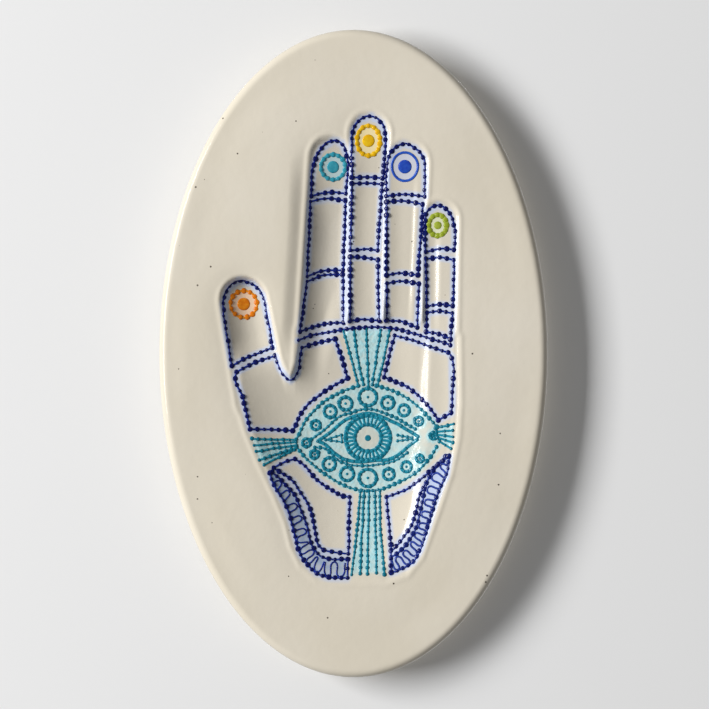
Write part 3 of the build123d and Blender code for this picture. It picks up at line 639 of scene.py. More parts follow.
def print_shade_mask(x, z):
    """Painted shade: darker cream inside the print of the fingers and the upper palm."""
    return PRINT_SHADE_SHARE * (1.0 - smoothstep(*PRINT_SHADE_EDGE, hand_distance(x, z))) * smoothstep(*PRINT_SHADE_LEVELS, z)


def turquoise_mask(x, z):
    """Where turquoise wash lies: under the rays, in the eye, round its strokes and in the iris."""
    wash = np.zeros(x.shape)
    for rays in RAYS.values():
        fan = rays[0] + [ray[-1] for ray in rays[1:-1]] + rays[-1][::-1] + [ray[0] for ray in rays[-2:0:-1]]
        wash = np.maximum(wash, area_mask(x, z, fan, RAY_SOFT))
    eye = EYE_OUTLINE[0] + EYE_OUTLINE[1] + EYE_OUTLINE[2][::-1]
    strength = EYE_WASH - EYE_WASH_LOST * smoothstep(*EYE_RIGHT_END, x)
    wash = np.maximum(wash, strength * area_mask(x, z, eye, EYE_SOFT))
    loops = [circle_points(cx, cz, radius, count=HALO_KNOTS) for cx, cz, radius in RINGLETS]
    halo = nearest_stroke(x, z, EYE_OUTLINE + LIDS_DOTTED + LIDS_SOLID + EYE_MARKS + loops)
    wash = np.maximum(wash, 1.0 - smoothstep(*HALO_FADE, halo))
    ring = np.hypot(x - EYE_CENTRE[0], z - EYE_CENTRE[1])
    iris = smoothstep(*IRIS_STARTS, ring) * (1.0 - smoothstep(*IRIS_ENDS, ring))
    pupil = PUPIL_WASH + (1.0 - PUPIL_WASH) * smoothstep(*PUPIL_EDGE, ring)
    return np.maximum(wash * pupil, IRIS_WASH * iris)


def wash_masks(x, z):
    """Turquoise wash, cobalt wash, bare clay, and pale bleeding with the right cuff's painted glare, at each
    point of the face.
    """
    # The right cuff takes little cobalt wash, as part of its painted glare.
    cobalt = np.maximum(cuff_mask(x, z, "left_cuff"), RIGHT_CUFF_WASH * cuff_mask(x, z, "right_cuff"))
    bare = np.zeros(x.shape)
    return np.stack([turquoise_mask(x, z), cobalt, bare, bleed_and_glare_mask(x, z)], axis=-1).reshape(-1, 4)


def rosette_tint(x, z, colours):
    """The pale wash inside each rosette, with its strength as the fourth value."""
    tint = np.zeros((*x.shape, 4))
    white = np.array(colours.rosette_white)
    for cx, cz, _, half_width, half_height, *_, enamel in ROSETTES.values():
        ring = np.hypot((x - cx) / half_width, (z - cz) / half_height)
        pale = white + ROSETTE_WASH[enamel] * (np.array(getattr(colours, f"{enamel}_thin")) - white)
        tint[ring < ROSETTE_REACH, :3] = pale
        tint[..., 3] = np.maximum(tint[..., 3], 1.0 - smoothstep(*ROSETTE_EDGE, ring))
    return tint.reshape(-1, 4)


# The fired body's mesh

FRONT_STEPS, BACK_STEPS = 8, 5
FOOT_EASE, FOOT_FLAT, FOOT_BEVEL = 0.0012, 0.0006, 0.3
CROWD_ACROSS, CROWD_UP = 0.25, 0.18


def spread(count, crowd):
    """Places from -1 to 1 that lie closer together towards the middle."""
    s = np.linspace(-1.0, 1.0, count + 1)
    return s * (1.0 - crowd * (1.0 - s * s))


def quarter_turns(steps):
    """Angles of a rounded edge, from its first step to a right angle."""
    return [step / steps * math.pi / 2 for step in range(1, steps + 1)]


def rim_loops(shape):
    """The oval's section from the face's edge round to the foot: (inset, level above the wall, bare clay)."""
    loops = []
    for turn in quarter_turns(FRONT_STEPS):
        drop = shape.front_round * (1 - math.cos(turn))
        loops.append((shape.front_round * (1 - math.sin(turn)), shape.face - drop, 0))
    loops.append((0.0, shape.back + shape.back_round, 0))
    for turn in quarter_turns(BACK_STEPS):
        above = shape.back_round * (1 - math.sin(turn))
        loops.append((shape.back_round * (1 - math.cos(turn)), shape.back + above, 0))
    outer = shape.foot_inset
    inner = shape.foot_inset + shape.foot_width
    bevel = FOOT_BEVEL * FOOT_EASE
    return loops + [
        (shape.back_round + FOOT_FLAT, shape.back, 0),
        (outer - FOOT_EASE - FOOT_FLAT, shape.back, 0),
        (outer - FOOT_EASE, shape.back, 0),
        (outer, shape.back - FOOT_EASE, 0),
        (outer, FOOT_EASE, 0),
        (outer + bevel, bevel, 1),
        (outer + FOOT_EASE, 0.0, 1),
        (inner - FOOT_EASE, 0.0, 1),
        (inner - bevel, bevel, 1),
        (inner, FOOT_EASE, 0),
        (inner, shape.back - FOOT_EASE, 0),
        (inner + FOOT_EASE, shape.back, 0),
        (inner + FOOT_EASE + FOOT_FLAT, shape.back, 0),
    ]


def store(mesh, name, kind, field, values):
    """Keeps a value for each point of the mesh. Points past the values, round the rim, get 0."""
    rim = np.zeros((len(mesh.vertices) - len(values), *values.shape[1:]))
    attribute = mesh.attributes.new(name, kind, "POINT")
    attribute.data.foreach_set(field, np.concatenate([values, rim]).ravel())


def body_mesh(shape, colours):
    """The whole fired body as one closed mesh, with its washes and bare clay as attributes."""
    half_width = shape.width / 2
    half_height = shape.height / 2
    across, up = np.meshgrid(spread(shape.columns, CROWD_ACROSS), spread(shape.rows, CROWD_UP))
    disc_x = across * np.sqrt(1.0 - up * up / 2.0)
    disc_z = up * np.sqrt(1.0 - across * across / 2.0)
    x = disc_x * (half_width - shape.front_round)
    z = disc_z * (half_height - shape.front_round)
    height = face_height(x / MM, z / MM, shape) * MM
    points = [np.stack([x, -(shape.face + height), z], axis=-1).reshape(-1, 3)]
    washes = [wash_masks(x / MM, z / MM)]
    columns, rows = shape.columns + 1, shape.rows + 1
    index = np.arange(columns * rows).reshape(rows, columns)
    corners = [index[:-1, :-1], index[:-1, 1:], index[1:, 1:], index[1:, :-1]]
    faces = np.stack(corners, axis=-1).reshape(-1, 4).tolist()
    border = np.concatenate([index[0, :-1], index[:-1, -1], index[-1, :0:-1], index[:0:-1, 0]])
    ring_x, ring_z = disc_x.reshape(-1)[border], disc_z.reshape(-1)[border]
    count = len(border)
    last = border
    start = columns * rows
    for inset, level, bare in rim_loops(shape):
        loop_x = ring_x * (half_width - inset)
        loop_z = ring_z * (half_height - inset)
        points.append(np.stack([loop_x, np.full(count, -level), loop_z], axis=-1))
        washes.append(np.tile([0.0, 0.0, float(bare), 0.0], (count, 1)))
        loop = np.arange(start, start + count)
        faces += np.stack([last, loop, np.roll(loop, -1), np.roll(last, -1)], axis=-1).tolist()
        last = loop
        start += count
    faces.append(last[::-1].tolist())
    mesh = bpy.data.meshes.new("plaque_glazed_body")
    mesh.from_pydata(np.concatenate(points).tolist(), [], faces)
    store(mesh, "wash", "FLOAT_COLOR", "color", np.concatenate(washes))
    store(mesh, "tint", "FLOAT_COLOR", "color", rosette_tint(x / MM, z / MM, colours))
    # Painted shade of the print, as the share of the darker cream at each point.
    store(mesh, "shaded_print", "FLOAT", "value", print_shade_mask(x / MM, z / MM).ravel())
    mesh.update()
    return mesh


# Node trees

FLOAT, COLOUR, GEOMETRY = "NodeSocketFloat", "NodeSocketColor", "NodeSocketGeometry"
FULL = (0.0, 1.0)


def new_group(name, kind, inputs, outputs):
    """An empty node group with named sockets, its inputs' node and its outputs' node."""
    group = bpy.data.node_groups.new(name, kind)
    for label, socket_type, default in inputs:
        socket = group.interface.new_socket(label, in_out="INPUT", socket_type=socket_type)
        if default is not None:
            socket.default_value = default
    for label, socket_type in outputs:
        group.interface.new_socket(label, in_out="OUTPUT", socket_type=socket_type)
    return group, group.nodes.new("NodeGroupInput"), group.nodes.new("NodeGroupOutput")


def shared_group(name, maker):
    """The node group of that name, made the first time it is asked for."""
    return bpy.data.node_groups.get(name) or maker()


class NodeKit:
    """Short calls that add and join nodes of one tree."""

    def __init__(self, tree):
        self.tree = tree

    def set(self, socket, value):
        if isinstance(value, bpy.types.NodeSocket):
            self.tree.links.new(value, socket)
        else:
            socket.default_value = value

    def fill(self, node, **sockets):
        """Sets a node's inputs to values, or joins them to sockets."""
        for label, value in sockets.items():
            self.set(node.inputs[label.replace("_", " ")], value)
        return node

    def add(self, kind, modes=None, **sockets):
        node = self.tree.nodes.new(kind)
        for label, value in (modes or {}).items():
            setattr(node, label, value)
        return self.fill(node, **sockets)

    def math(self, operation, *values):
        node = self.add("ShaderNodeMath", {"operation": operation})
        for socket, value in zip(node.inputs, values):
            self.set(socket, value)
        return node.outputs[0]

    def vector(self, operation, first, second=None, scale=None):
        node = self.add("ShaderNodeVectorMath", {"operation": operation})
        self.set(node.inputs[0], first)
        if second is not None:
            self.set(node.inputs[1], second)
        if scale is not None:
            self.set(node.inputs["Scale"], scale)
        return node.outputs["Value"] if operation == "DOT_PRODUCT" else node.outputs["Vector"]

    def ramp(self, value, given, wanted):
        """Maps a value from one range to another."""
        node = self.add("ShaderNodeMapRange", Value=value, From_Min=given[0], From_Max=given[1],
                        To_Min=wanted[0], To_Max=wanted[1])
        return node.outputs["Result"]

    def mix(self, factor, first, second):
        """Lays the second colour over the first."""
        node = self.add("ShaderNodeMix", {"data_type": "RGBA"}, Factor=factor, A=first, B=second)
        return node.outputs["Result"]

    def noise(self, **sockets):
        """Noise that stays on the piece."""
        place = self.add("ShaderNodeTexCoord").outputs["Object"]
        return self.add("ShaderNodeTexNoise", Vector=place, **sockets).outputs["Fac"]

    def bump(self, height, strength, distance):
        node = self.add("ShaderNodeBump", Height=height, Strength=strength, Distance=distance)
        return node.outputs["Normal"]

    def drop(self, surface):
        """A ray along +Y from each point to the surface: where it lands, and the normal there."""
        ray = self.add("GeometryNodeRaycast", {"data_type": "FLOAT"}, Target_Geometry=surface,
                       Ray_Direction=(0.0, 1.0, 0.0), Ray_Length=1.0)
        return ray.outputs["Hit Position"], ray.outputs["Hit Normal"]

    def seat(self, geometry, surface):
        """Moves points onto the surface, and keeps each one's place and the normal there."""
        hit, normal = self.drop(surface)
        keep = self.add("GeometryNodeCaptureAttribute")
        keep.capture_items.new("VECTOR", "Place")
        keep.capture_items.new("VECTOR", "Up")
        self.fill(keep, Geometry=geometry, Place=hit, Up=normal)
        place = keep.outputs["Place"]
        seated = self.add("GeometryNodeSetPosition", Geometry=keep.outputs["Geometry"], Position=place)
        return seated.outputs["Geometry"], place, keep.outputs["Up"]

    def pool(self, geometry, value):
        """Marks how thickly the enamel lies."""
        mark = self.add("GeometryNodeStoreNamedAttribute", {"data_type": "FLOAT", "domain": "POINT"},
                        Geometry=geometry, Name="pool", Value=value)
        return mark.outputs["Geometry"]

    def finish(self, target, geometry, enamel):
        """Ends a tree with real, smooth geometry of one enamel."""
        real = self.add("GeometryNodeRealizeInstances", Geometry=geometry)
        smooth = self.add("GeometryNodeSetShadeSmooth", Geometry=real.outputs["Geometry"])
        painted = self.add("GeometryNodeSetMaterial", Geometry=smooth.outputs["Geometry"], Material=enamel)
        self.fill(target, Geometry=painted.outputs["Geometry"])


# Materials

# A painted layer's drift between thick and thin: the range of its noise and its balance together.
DRIFT_RANGE = (0.72, 1.28)
# How unevenly a wash lies: the range of its noise, and the strengths that this gives.
STREAK_SCALE, STREAK_RANGE, STREAK_STRENGTH = 480.0, (0.3, 0.7), (0.45, 0.85)
WASH_LUMPS = 10.0
# Iron specks: cells for each metre, radius in a cell, share of the cells.
SPECKS = ((300.0, 0.11, 0.13), (190.0, 0.085, 0.16))
# Each finish has a layer (scales of its drift and its ripple, balance) and a bump (strength, height).
GLAZE_LAYER, GLAZE_BUMP = (22.0, 260.0, 0.36), (0.12, 0.0006)
GLAZE_ROUGH, GLAZE_SPECULAR = (0.15, 0.8), 0.145
ENAMEL_LAYER, ENAMEL_BUMP = (520.0, 1500.0), (0.1, 0.0002)
ENAMEL_ROUGH, ENAMEL_SPECULAR = 0.2, 0.2
# The enamel's balance is the second value where none has pooled, and the first is added where it has.
POOL_BALANCE = (-0.5, 0.68)
STEEL_LAYER, STEEL_BUMP = (160.0, 2600.0, 0.55), (0.1, 0.0001)
STEEL_ROUGH, STEEL_DULL = (0.24, 0.46), 0.72
EPOXY_LAYER, EPOXY_BUMP = (140.0, 480.0, 0.5), (0.3, 0.0004)
EPOXY_ROUGH, EPOXY_CLOUDY = 0.3, 0.8


def mottle_group():
    """Colour that drifts between a thick and a thin layer, with a fine surface ripple."""
    group, source, target = new_group(
        "Pooled Layer", "ShaderNodeTree",
        [("Thick", COLOUR, (0, 0, 0, 1)), ("Thin", COLOUR, (1, 1, 1, 1)), ("Scale", FLOAT, 200.0),
         ("Ripple Scale", FLOAT, 900.0), ("Balance", FLOAT, 0.5)],
        [("Colour", COLOUR), ("Ripple", FLOAT)],
    )
    kit, given = NodeKit(group), source.outputs
    drift = kit.math("ADD", kit.noise(Scale=given["Scale"], Detail=4.0), given["Balance"])
    colour = kit.mix(kit.ramp(drift, DRIFT_RANGE, FULL), given["Thick"], given["Thin"])
    kit.fill(target, Colour=colour, Ripple=kit.noise(Scale=given["Ripple Scale"], Detail=2.0))
    return group


def speck_group():
    """Sparse dark specks of iron, of uneven size."""
    group, source, target = new_group(
        "Iron Specks", "ShaderNodeTree",
        [("Scale", FLOAT, 110.0), ("Size", FLOAT, 0.05), ("Share", FLOAT, 0.2)],
        [("Mask", FLOAT)],
    )
    kit, given = NodeKit(group), source.outputs
    place = kit.add("ShaderNodeTexCoord").outputs["Object"]
    cells = kit.add("ShaderNodeTexVoronoi", Vector=place, Scale=given["Scale"])
    split = kit.add("ShaderNodeSeparateColor", Color=cells.outputs["Color"])
    chosen = kit.math("LESS_THAN", split.outputs["Red"], given["Share"])
    size = kit.math("MULTIPLY", split.outputs["Green"], given["Size"])
    small = kit.math("LESS_THAN", cells.outputs["Distance"], size)
    kit.fill(target, Mask=kit.math("MULTIPLY", chosen, small))
    return group


def new_material(name):
    material = bpy.data.materials.new(name)
    material.use_nodes = True
    kit = NodeKit(material.node_tree)
    return material, kit, kit.tree.nodes["Principled BSDF"]


def rgba(colour):
    return (*colour, 1.0)


def place_layer(kit, thick, thin, scale, ripple_scale, balance):
    """A painted layer with its own colours: its colour and its ripple."""
    layer = kit.add("ShaderNodeGroup", {"node_tree": shared_group("Pooled Layer", mottle_group)},
                    Thick=rgba(thick), Thin=rgba(thin), Scale=scale, Ripple_Scale=ripple_scale,
                    Balance=balance)
    return layer.outputs["Colour"], layer.outputs["Ripple"]


def cream_glaze(colours):
    """Glossy cream glaze with specks, painted washes, painted shade in the hand's print, a painted highlight
    of glare over the right cuff and a bare foot.
    """
    material, kit, shader = new_material("poured_cream_glaze")
    colour, ripple = place_layer(kit, colours.cream, colours.cream_thin, *GLAZE_LAYER)
    wash = kit.add("ShaderNodeVertexColor", {"layer_name": "wash"})
    split = kit.add("ShaderNodeSeparateColor", Color=wash.outputs["Color"])
    turquoise, cobalt, bare = (split.outputs[channel] for channel in ("Red", "Green", "Blue"))
    streak = kit.noise(Scale=STREAK_SCALE)
    uneven = kit.ramp(streak, STREAK_RANGE, STREAK_STRENGTH)
    shaded_print = kit.add("ShaderNodeAttribute", {"attribute_name": "shaded_print"})
    # Painted shade: darker cream inside the hand's print.
    colour = kit.mix(shaded_print.outputs["Fac"], colour, rgba(colours.cream_in_shade))
    # Pale bleeding beside the cobalt strokes, and over the right cuff a pale ground that is partly a painted
    # highlight of the glare.
    colour = kit.mix(wash.outputs["Alpha"], colour, rgba(colours.flush))
    for amount, paint in ((turquoise, colours.turquoise_wash), (cobalt, colours.cobalt_wash)):
        colour = kit.mix(kit.math("MULTIPLY", amount, uneven), colour, rgba(paint))
    tint = kit.add("ShaderNodeVertexColor", {"layer_name": "tint"})
    colour = kit.mix(tint.outputs["Alpha"], colour, tint.outputs["Color"])
    colour = kit.mix(bare, colour, rgba(colours.bisque))
    for scale, size, share in SPECKS:
        specks = kit.add("ShaderNodeGroup", {"node_tree": shared_group("Iron Specks", speck_group)},
                         Scale=scale, Size=size, Share=share)
        colour = kit.mix(specks.outputs["Mask"], colour, rgba(colours.speck))
    lumps = kit.math("MULTIPLY", kit.math("SUBTRACT", streak, 0.5), turquoise)
    height = kit.math("MULTIPLY_ADD", lumps, WASH_LUMPS, ripple)
    kit.fill(shader, Base_Color=colour, Roughness=kit.ramp(bare, FULL, GLAZE_ROUGH),
             Specular_IOR_Level=GLAZE_SPECULAR, Normal=kit.bump(height, *GLAZE_BUMP))
    return material


def enamel_of(name):
    """Glossy enamel of that colour, darker where it pools, made the first time it is asked for."""
    found = bpy.data.materials.get(f"painted_{name}")
    if found:
        return found
    colours = bpy.context.scene.hamsa_colours
    material, kit, shader = new_material(f"painted_{name}")
    pool = kit.add("ShaderNodeAttribute", {"attribute_name": "pool"})
    balance = kit.math("MULTIPLY_ADD", pool.outputs["Fac"], *POOL_BALANCE)
    thick, thin = getattr(colours, name), getattr(colours, f"{name}_thin")
    colour, ripple = place_layer(kit, thick, thin, *ENAMEL_LAYER, balance)
    kit.fill(shader, Base_Color=colour, Roughness=ENAMEL_ROUGH, Specular_IOR_Level=ENAMEL_SPECULAR,
             Normal=kit.bump(ripple, *ENAMEL_BUMP))
    return material


def hanger_steel(colours):
    """Plated steel with faint draw lines and dulled patches."""
    material, kit, shader = new_material("plated_steel")
    dull = tuple(STEEL_DULL * value for value in colours.steel)
    colour, ripple = place_layer(kit, dull, colours.steel, *STEEL_LAYER)
    kit.fill(shader, Base_Color=colour, Metallic=1.0, Roughness=kit.ramp(ripple, FULL, STEEL_ROUGH),
             Normal=kit.bump(ripple, *STEEL_BUMP))
    return material


def epoxy_material(colours):
    """Cured epoxy, slightly cloudy, with a brushed-on surface."""
    material, kit, shader = new_material("cured_epoxy")
    cloudy = tuple(EPOXY_CLOUDY * value for value in colours.epoxy)
    colour, ripple = place_layer(kit, cloudy, colours.epoxy, *EPOXY_LAYER)
    kit.fill(shader, Base_Color=colour, Roughness=EPOXY_ROUGH, Normal=kit.bump(ripple, *EPOXY_BUMP))
    return material


# Enamel laid by geometry nodes

CURVE_STEPS = 12
FINE_STEP = 0.0006
DRIFT_SCALE = 160.0
THREAD_SIDES, BEAD_SEGMENTS, BEAD_RINGS = 8, 12, 4
BEAD_POOL, THREAD_POOL, DAB_POOL = 1.0, 0.4, 0.7
# Beads turn part of the way to the front, and stand this much higher than the thread.
BEAD_FACING, BEAD_HEIGHT = (0.0, -0.7, 0.0), 1.5
# Strokes are drawn on a plane in front of the face.
IN_FRONT = -0.05
DAB_RINGS, DAB_SEGMENTS, DAB_CURVE = 5, 28, 4
# How far a dab's edge and its underside lie below the glaze, in millimetres.
DAB_SINK, DAB_UNDER = 0.06, 0.12
DAB_RISE = 0.24


def bead_line_tree():
    """Strings beads of enamel along curves, on a flattened thread that lies on the body's surface."""
    tree, source, target = new_group(
        "Bead Line", "GeometryNodeTree",
        [("Geometry", GEOMETRY, None), ("Body", "NodeSocketObject", None), ("Bead Radius", FLOAT, 0.0007),
         ("Pitch", FLOAT, 0.0026), ("Thread", FLOAT, 0.0003), ("Rise", FLOAT, 0.0002), ("Jitter", FLOAT, 0.2),
         ("Wobble", FLOAT, 0.0003), ("Seed", "NodeSocketInt", 1), ("Enamel", "NodeSocketMaterial", None)],
        [("Geometry", GEOMETRY)],
    )
    kit, given = NodeKit(tree), source.outputs
    body = kit.add("GeometryNodeObjectInfo", Object=given["Body"]).outputs["Geometry"]
    by_length = {"mode": "LENGTH"}
    fine = kit.add("GeometryNodeResampleCurve", by_length, Curve=given["Geometry"], Length=FINE_STEP)
    drift = kit.add("ShaderNodeTexNoise", Scale=DRIFT_SCALE, Detail=1.0)
    stray = kit.vector("SUBTRACT", drift.outputs["Color"], (0.5, 0.5, 0.5))
    stray = kit.vector("SCALE", kit.vector("MULTIPLY", stray, (1.0, 0.0, 1.0)), scale=given["Wobble"])
    moved = kit.add("GeometryNodeSetPosition", Geometry=fine.outputs["Curve"], Offset=stray)
    wavy = moved.outputs["Geometry"]

    thread_path, place, up = kit.seat(wavy, body)
    section = kit.add("GeometryNodeCurvePrimitiveCircle", Resolution=THREAD_SIDES, Radius=given["Thread"])
    tube = kit.add("GeometryNodeCurveToMesh", Curve=thread_path, Profile_Curve=section.outputs["Curve"],
                   Fill_Caps=True)
    here = kit.add("GeometryNodeInputPosition").outputs["Position"]
    lift = kit.vector("DOT_PRODUCT", kit.vector("SUBTRACT", here, place), up)
    flat = kit.math("DIVIDE", given["Rise"], given["Thread"])
    press = kit.math("MULTIPLY", lift, kit.math("SUBTRACT", flat, 1.0))
    thread = kit.add("GeometryNodeSetPosition", Geometry=tube.outputs["Mesh"],
                     Offset=kit.vector("SCALE", up, scale=press))

    spaced = kit.add("GeometryNodeResampleCurve", by_length, Curve=wavy, Length=given["Pitch"])
    dots = kit.add("GeometryNodeCurveToPoints", {"mode": "EVALUATED"}, Curve=spaced.outputs["Curve"])
    bead_places, _, up = kit.seat(dots.outputs["Points"], body)
    ball = kit.add("GeometryNodeMeshUVSphere", Radius=1.0, Segments=BEAD_SEGMENTS, Rings=BEAD_RINGS)
    facing = kit.vector("ADD", up, BEAD_FACING)
    turn = kit.add("FunctionNodeAlignRotationToVector", {"axis": "Z"}, Vector=facing)
    size = kit.add("FunctionNodeRandomValue", {"data_type": "FLOAT"}, Seed=given["Seed"],
                   Min=kit.math("SUBTRACT", 1.0, given["Jitter"]), Max=kit.math("ADD", 1.0, given["Jitter"]))
    radius = kit.math("MULTIPLY", size.outputs["Value"], given["Bead Radius"])
    height = kit.math("MULTIPLY", given["Rise"], BEAD_HEIGHT)
    scale = kit.add("ShaderNodeCombineXYZ", X=radius, Y=radius, Z=height)
    beads = kit.add("GeometryNodeInstanceOnPoints", Points=bead_places,
                    Instance=kit.pool(ball.outputs["Mesh"], BEAD_POOL),
                    Rotation=turn.outputs["Rotation"], Scale=scale.outputs["Vector"],
                    Selection=kit.math("GREATER_THAN", given["Bead Radius"], 0.0))
    both = kit.add("GeometryNodeJoinGeometry", Geometry=beads.outputs["Instances"])
    kit.fill(both, Geometry=kit.pool(thread.outputs["Geometry"], THREAD_POOL))
    kit.finish(target, both.outputs["Geometry"], given["Enamel"])
    return tree


def dab_tree():
    """Lays lens-shaped dabs on the body's surface. A dab's height in the flat mesh becomes its rise."""
    tree, source, target = new_group(
        "Enamel Dab", "GeometryNodeTree",
        [("Geometry", GEOMETRY, None), ("Body", "NodeSocketObject", None), ("Level", FLOAT, -0.05),
         ("Enamel", "NodeSocketMaterial", None)],
        [("Geometry", GEOMETRY)],
    )
    kit, given = NodeKit(tree), source.outputs
    body = kit.add("GeometryNodeObjectInfo", Object=given["Body"]).outputs["Geometry"]
    hit, normal = kit.drop(body)
    here = kit.add("GeometryNodeInputPosition").outputs["Position"]
    parts = kit.add("ShaderNodeSeparateXYZ", Vector=here)
    rise = kit.math("SUBTRACT", given["Level"], parts.outputs["Y"])
    place = kit.vector("ADD", hit, kit.vector("SCALE", normal, scale=rise))
    laid = kit.add("GeometryNodeSetPosition", Geometry=given["Geometry"], Position=place)
    kit.finish(target, kit.pool(laid.outputs["Geometry"], DAB_POOL), given["Enamel"])
    return tree


def add_object(name, data):
    added = bpy.data.objects.new(name, data)
    bpy.context.scene.collection.objects.link(added)
    return added


def grown_mesh(name, data, tree, values):
    """Runs a tree on the data and returns the plain mesh that it makes."""
    seedling = add_object(f"{name}_path", data)
    modifier = seedling.modifiers.new("grow", "NODES")
    modifier.node_group = tree
    ids = {item.name: item.identifier for item in tree.interface.items_tree
           if item.item_type == "SOCKET" and item.in_out == "INPUT"}
    for label, value in values.items():
        modifier[ids[label]] = value
    evaluated = seedling.evaluated_get(bpy.context.evaluated_depsgraph_get())
    mesh = bpy.data.meshes.new_from_object(evaluated)
    mesh.name = name
    seedling.modifiers.remove(modifier)
    bpy.data.objects.remove(seedling)
    if not mesh.polygons:
        raise RuntimeError(f"{name} came out empty")
    return mesh


def stroke_curve(name, strokes, closed):
    """A curve with one smooth spline through the points of each stroke, in front of the face."""
    curve = bpy.data.curves.new(name, "CURVE")
    curve.dimensions = "3D"
    curve.resolution_u = CURVE_STEPS
    for points in strokes:
        spline = curve.splines.new("BEZIER")
        spline.bezier_points.add(len(points) - 1)
        spline.use_cyclic_u = closed
        for knot, (x, z) in zip(spline.bezier_points, points):
            knot.co = (x * MM, IN_FRONT, z * MM)
            knot.handle_left_type = "AUTO"
            knot.handle_right_type = "AUTO"
    return curve


def beaded(name, strokes, enamel, seed=0, closed=False, bead=None, pitch=None, thread=None, wobble=None,
           jitter=None):
    """The mesh of beaded strokes of one enamel. A size that isn't given is the brush's own."""
    brush = bpy.context.scene.hamsa_brush
    style = "turquoise" if enamel == "turquoise" else "cobalt"

    def size(given, label):
        return getattr(brush, label) if given is None else given * MM

    values = {
        "Body": bpy.data.objects["plaque_glazed_body"],
        "Bead Radius": size(bead, f"{style}_bead"),
        "Pitch": size(pitch, f"{style}_pitch"),
        "Thread": size(thread, f"{style}_thread"),
        "Rise": brush.rise,
        "Jitter": brush.jitter if jitter is None else jitter,
        "Wobble": size(wobble, "wobble"),
        "Seed": brush.seed + seed,
        "Enamel": enamel_of(enamel),
    }
    tree = shared_group("Bead Line", bead_line_tree)
    return grown_mesh(name, stroke_curve(name, strokes, closed), tree, values)


def dab_seed(name, dabs, rise):
    """Flat lens-shaped dabs in front of the face: (x, z, radius)."""
    points, faces = [], []
    for x, z, radius in dabs:
        start = len(points)
        points.append((x * MM, IN_FRONT - rise * MM, z * MM))
        for ring in range(1, DAB_RINGS + 1):
            share = ring / DAB_RINGS
            fall = share ** DAB_CURVE
            height = rise * (1 - fall) - DAB_SINK * fall
            for segment in range(DAB_SEGMENTS):
                turn = 2 * math.pi * segment / DAB_SEGMENTS
                points.append(((x + radius * share * math.cos(turn)) * MM, IN_FRONT - height * MM,
                               (z + radius * share * math.sin(turn)) * MM))
        under = len(points)
        points.append((x * MM, IN_FRONT + DAB_UNDER * MM, z * MM))
        for segment in range(DAB_SEGMENTS):
            following = (segment + 1) % DAB_SEGMENTS
            faces.append((start, start + 1 + segment, start + 1 + following))
            for ring in range(DAB_RINGS - 1):
                low = start + 1 + ring * DAB_SEGMENTS
                high = low + DAB_SEGMENTS
                faces.append((low + segment, high + segment, high + following, low + following))
            outer = start + 1 + (DAB_RINGS - 1) * DAB_SEGMENTS
            faces.append((outer + following, outer + segment, under))
    mesh = bpy.data.meshes.new(name)
    mesh.from_pydata(points, [], faces)
    mesh.update()
    return mesh


def dabbed(name, dabs, enamel, rise=DAB_RISE):
    """The mesh of dabs of one enamel, laid on the face."""
    values = {"Body": bpy.data.objects["plaque_glazed_body"], "Level": IN_FRONT, "Enamel": enamel_of(enamel)}
    tree = shared_group("Enamel Dab", dab_tree)
    return grown_mesh(name, dab_seed(f"{name}_flat", dabs, rise), tree, values)


def as_piece(name, meshes, node):
    """One piece of the given meshes, which stands for a node and rides on the plaque."""
    piece = add_object(name, meshes[0])
    extras = [add_object(f"{name}_extra", mesh) for mesh in meshes[1:]]
    if extras:
        parts = [piece, *extras]
        with bpy.context.temp_override(active_object=piece, object=piece, selected_editable_objects=parts):
            if "FINISHED" not in bpy.ops.object.join():
                raise RuntimeError(f"{name} could not be joined")
    piece.data.name = name
    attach(piece, PLAQUE)
    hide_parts(node)


def circle_points(x, z, half_width, half_height=None, count=16):
    """Knots of a closed ring, clockwise from its top."""
    half_height = half_width if half_height is None else half_height
    turns = [2 * math.pi * i / count for i in range(count)]
    return [(x + half_width * math.sin(t), z + half_height * math.cos(t)) for t in turns]


def polyline_at(points, share):
    """The point at a share of a polyline's length."""
    lengths = [math.dist(a, b) for a, b in zip(points, points[1:])]
    left = share * sum(lengths)
    for a, b, length in zip(points, points[1:], lengths):
        if left <= length:
            return lerp(a, b, left / length)
        left -= length
    return points[-1]


def nearest_point(points, place):
    """The point of a polyline that is nearest to a place."""
    found = []
    for a, b in zip(points, points[1:]):
        run = ((place[0] - a[0]) * (b[0] - a[0]) + (place[1] - a[1]) * (b[1] - a[1])) / math.dist(a, b) ** 2
        found.append(lerp(a, b, min(max(run, 0.0), 1.0)))
    return min(found, key=lambda point: math.dist(point, place))


# Operators

class HAMSA_OT_body(bpy.types.Operator):
    """Press and glaze the oval body"""

    bl_idname = "hamsa.body"
    bl_label = "Body"

    def execute(self, context):
        colours = context.scene.hamsa_colours
        mesh = body_mesh(context.scene.hamsa_shape, colours)
        mesh.materials.append(cream_glaze(colours))
        mesh.shade_smooth()
        as_piece("plaque_glazed_body", [mesh], "plaque_body")
        return {"FINISHED"}


class HAMSA_OT_fingers(bpy.types.Operator):
    """String the beads round the fingers and across their joints"""

    bl_idname = "hamsa.fingers"
    bl_label = "Finger beads"

    def execute(self, context):
        for number, finger in enumerate(FINGER_STATIONS):
            contour, bands = finger_strokes(finger)
            name = f"{finger}_contour_beads"
            mesh = beaded(name, contour, "cobalt", SEEDS["contours"] + number)
            as_piece(name, [mesh], f"{finger}_contour")
            name = f"{finger}_band_beads"
            mesh = beaded(name, bands, "cobalt", SEEDS["bands"] + number)
            as_piece(name, [mesh], f"{finger}_joint_bands")
        return {"FINISHED"}


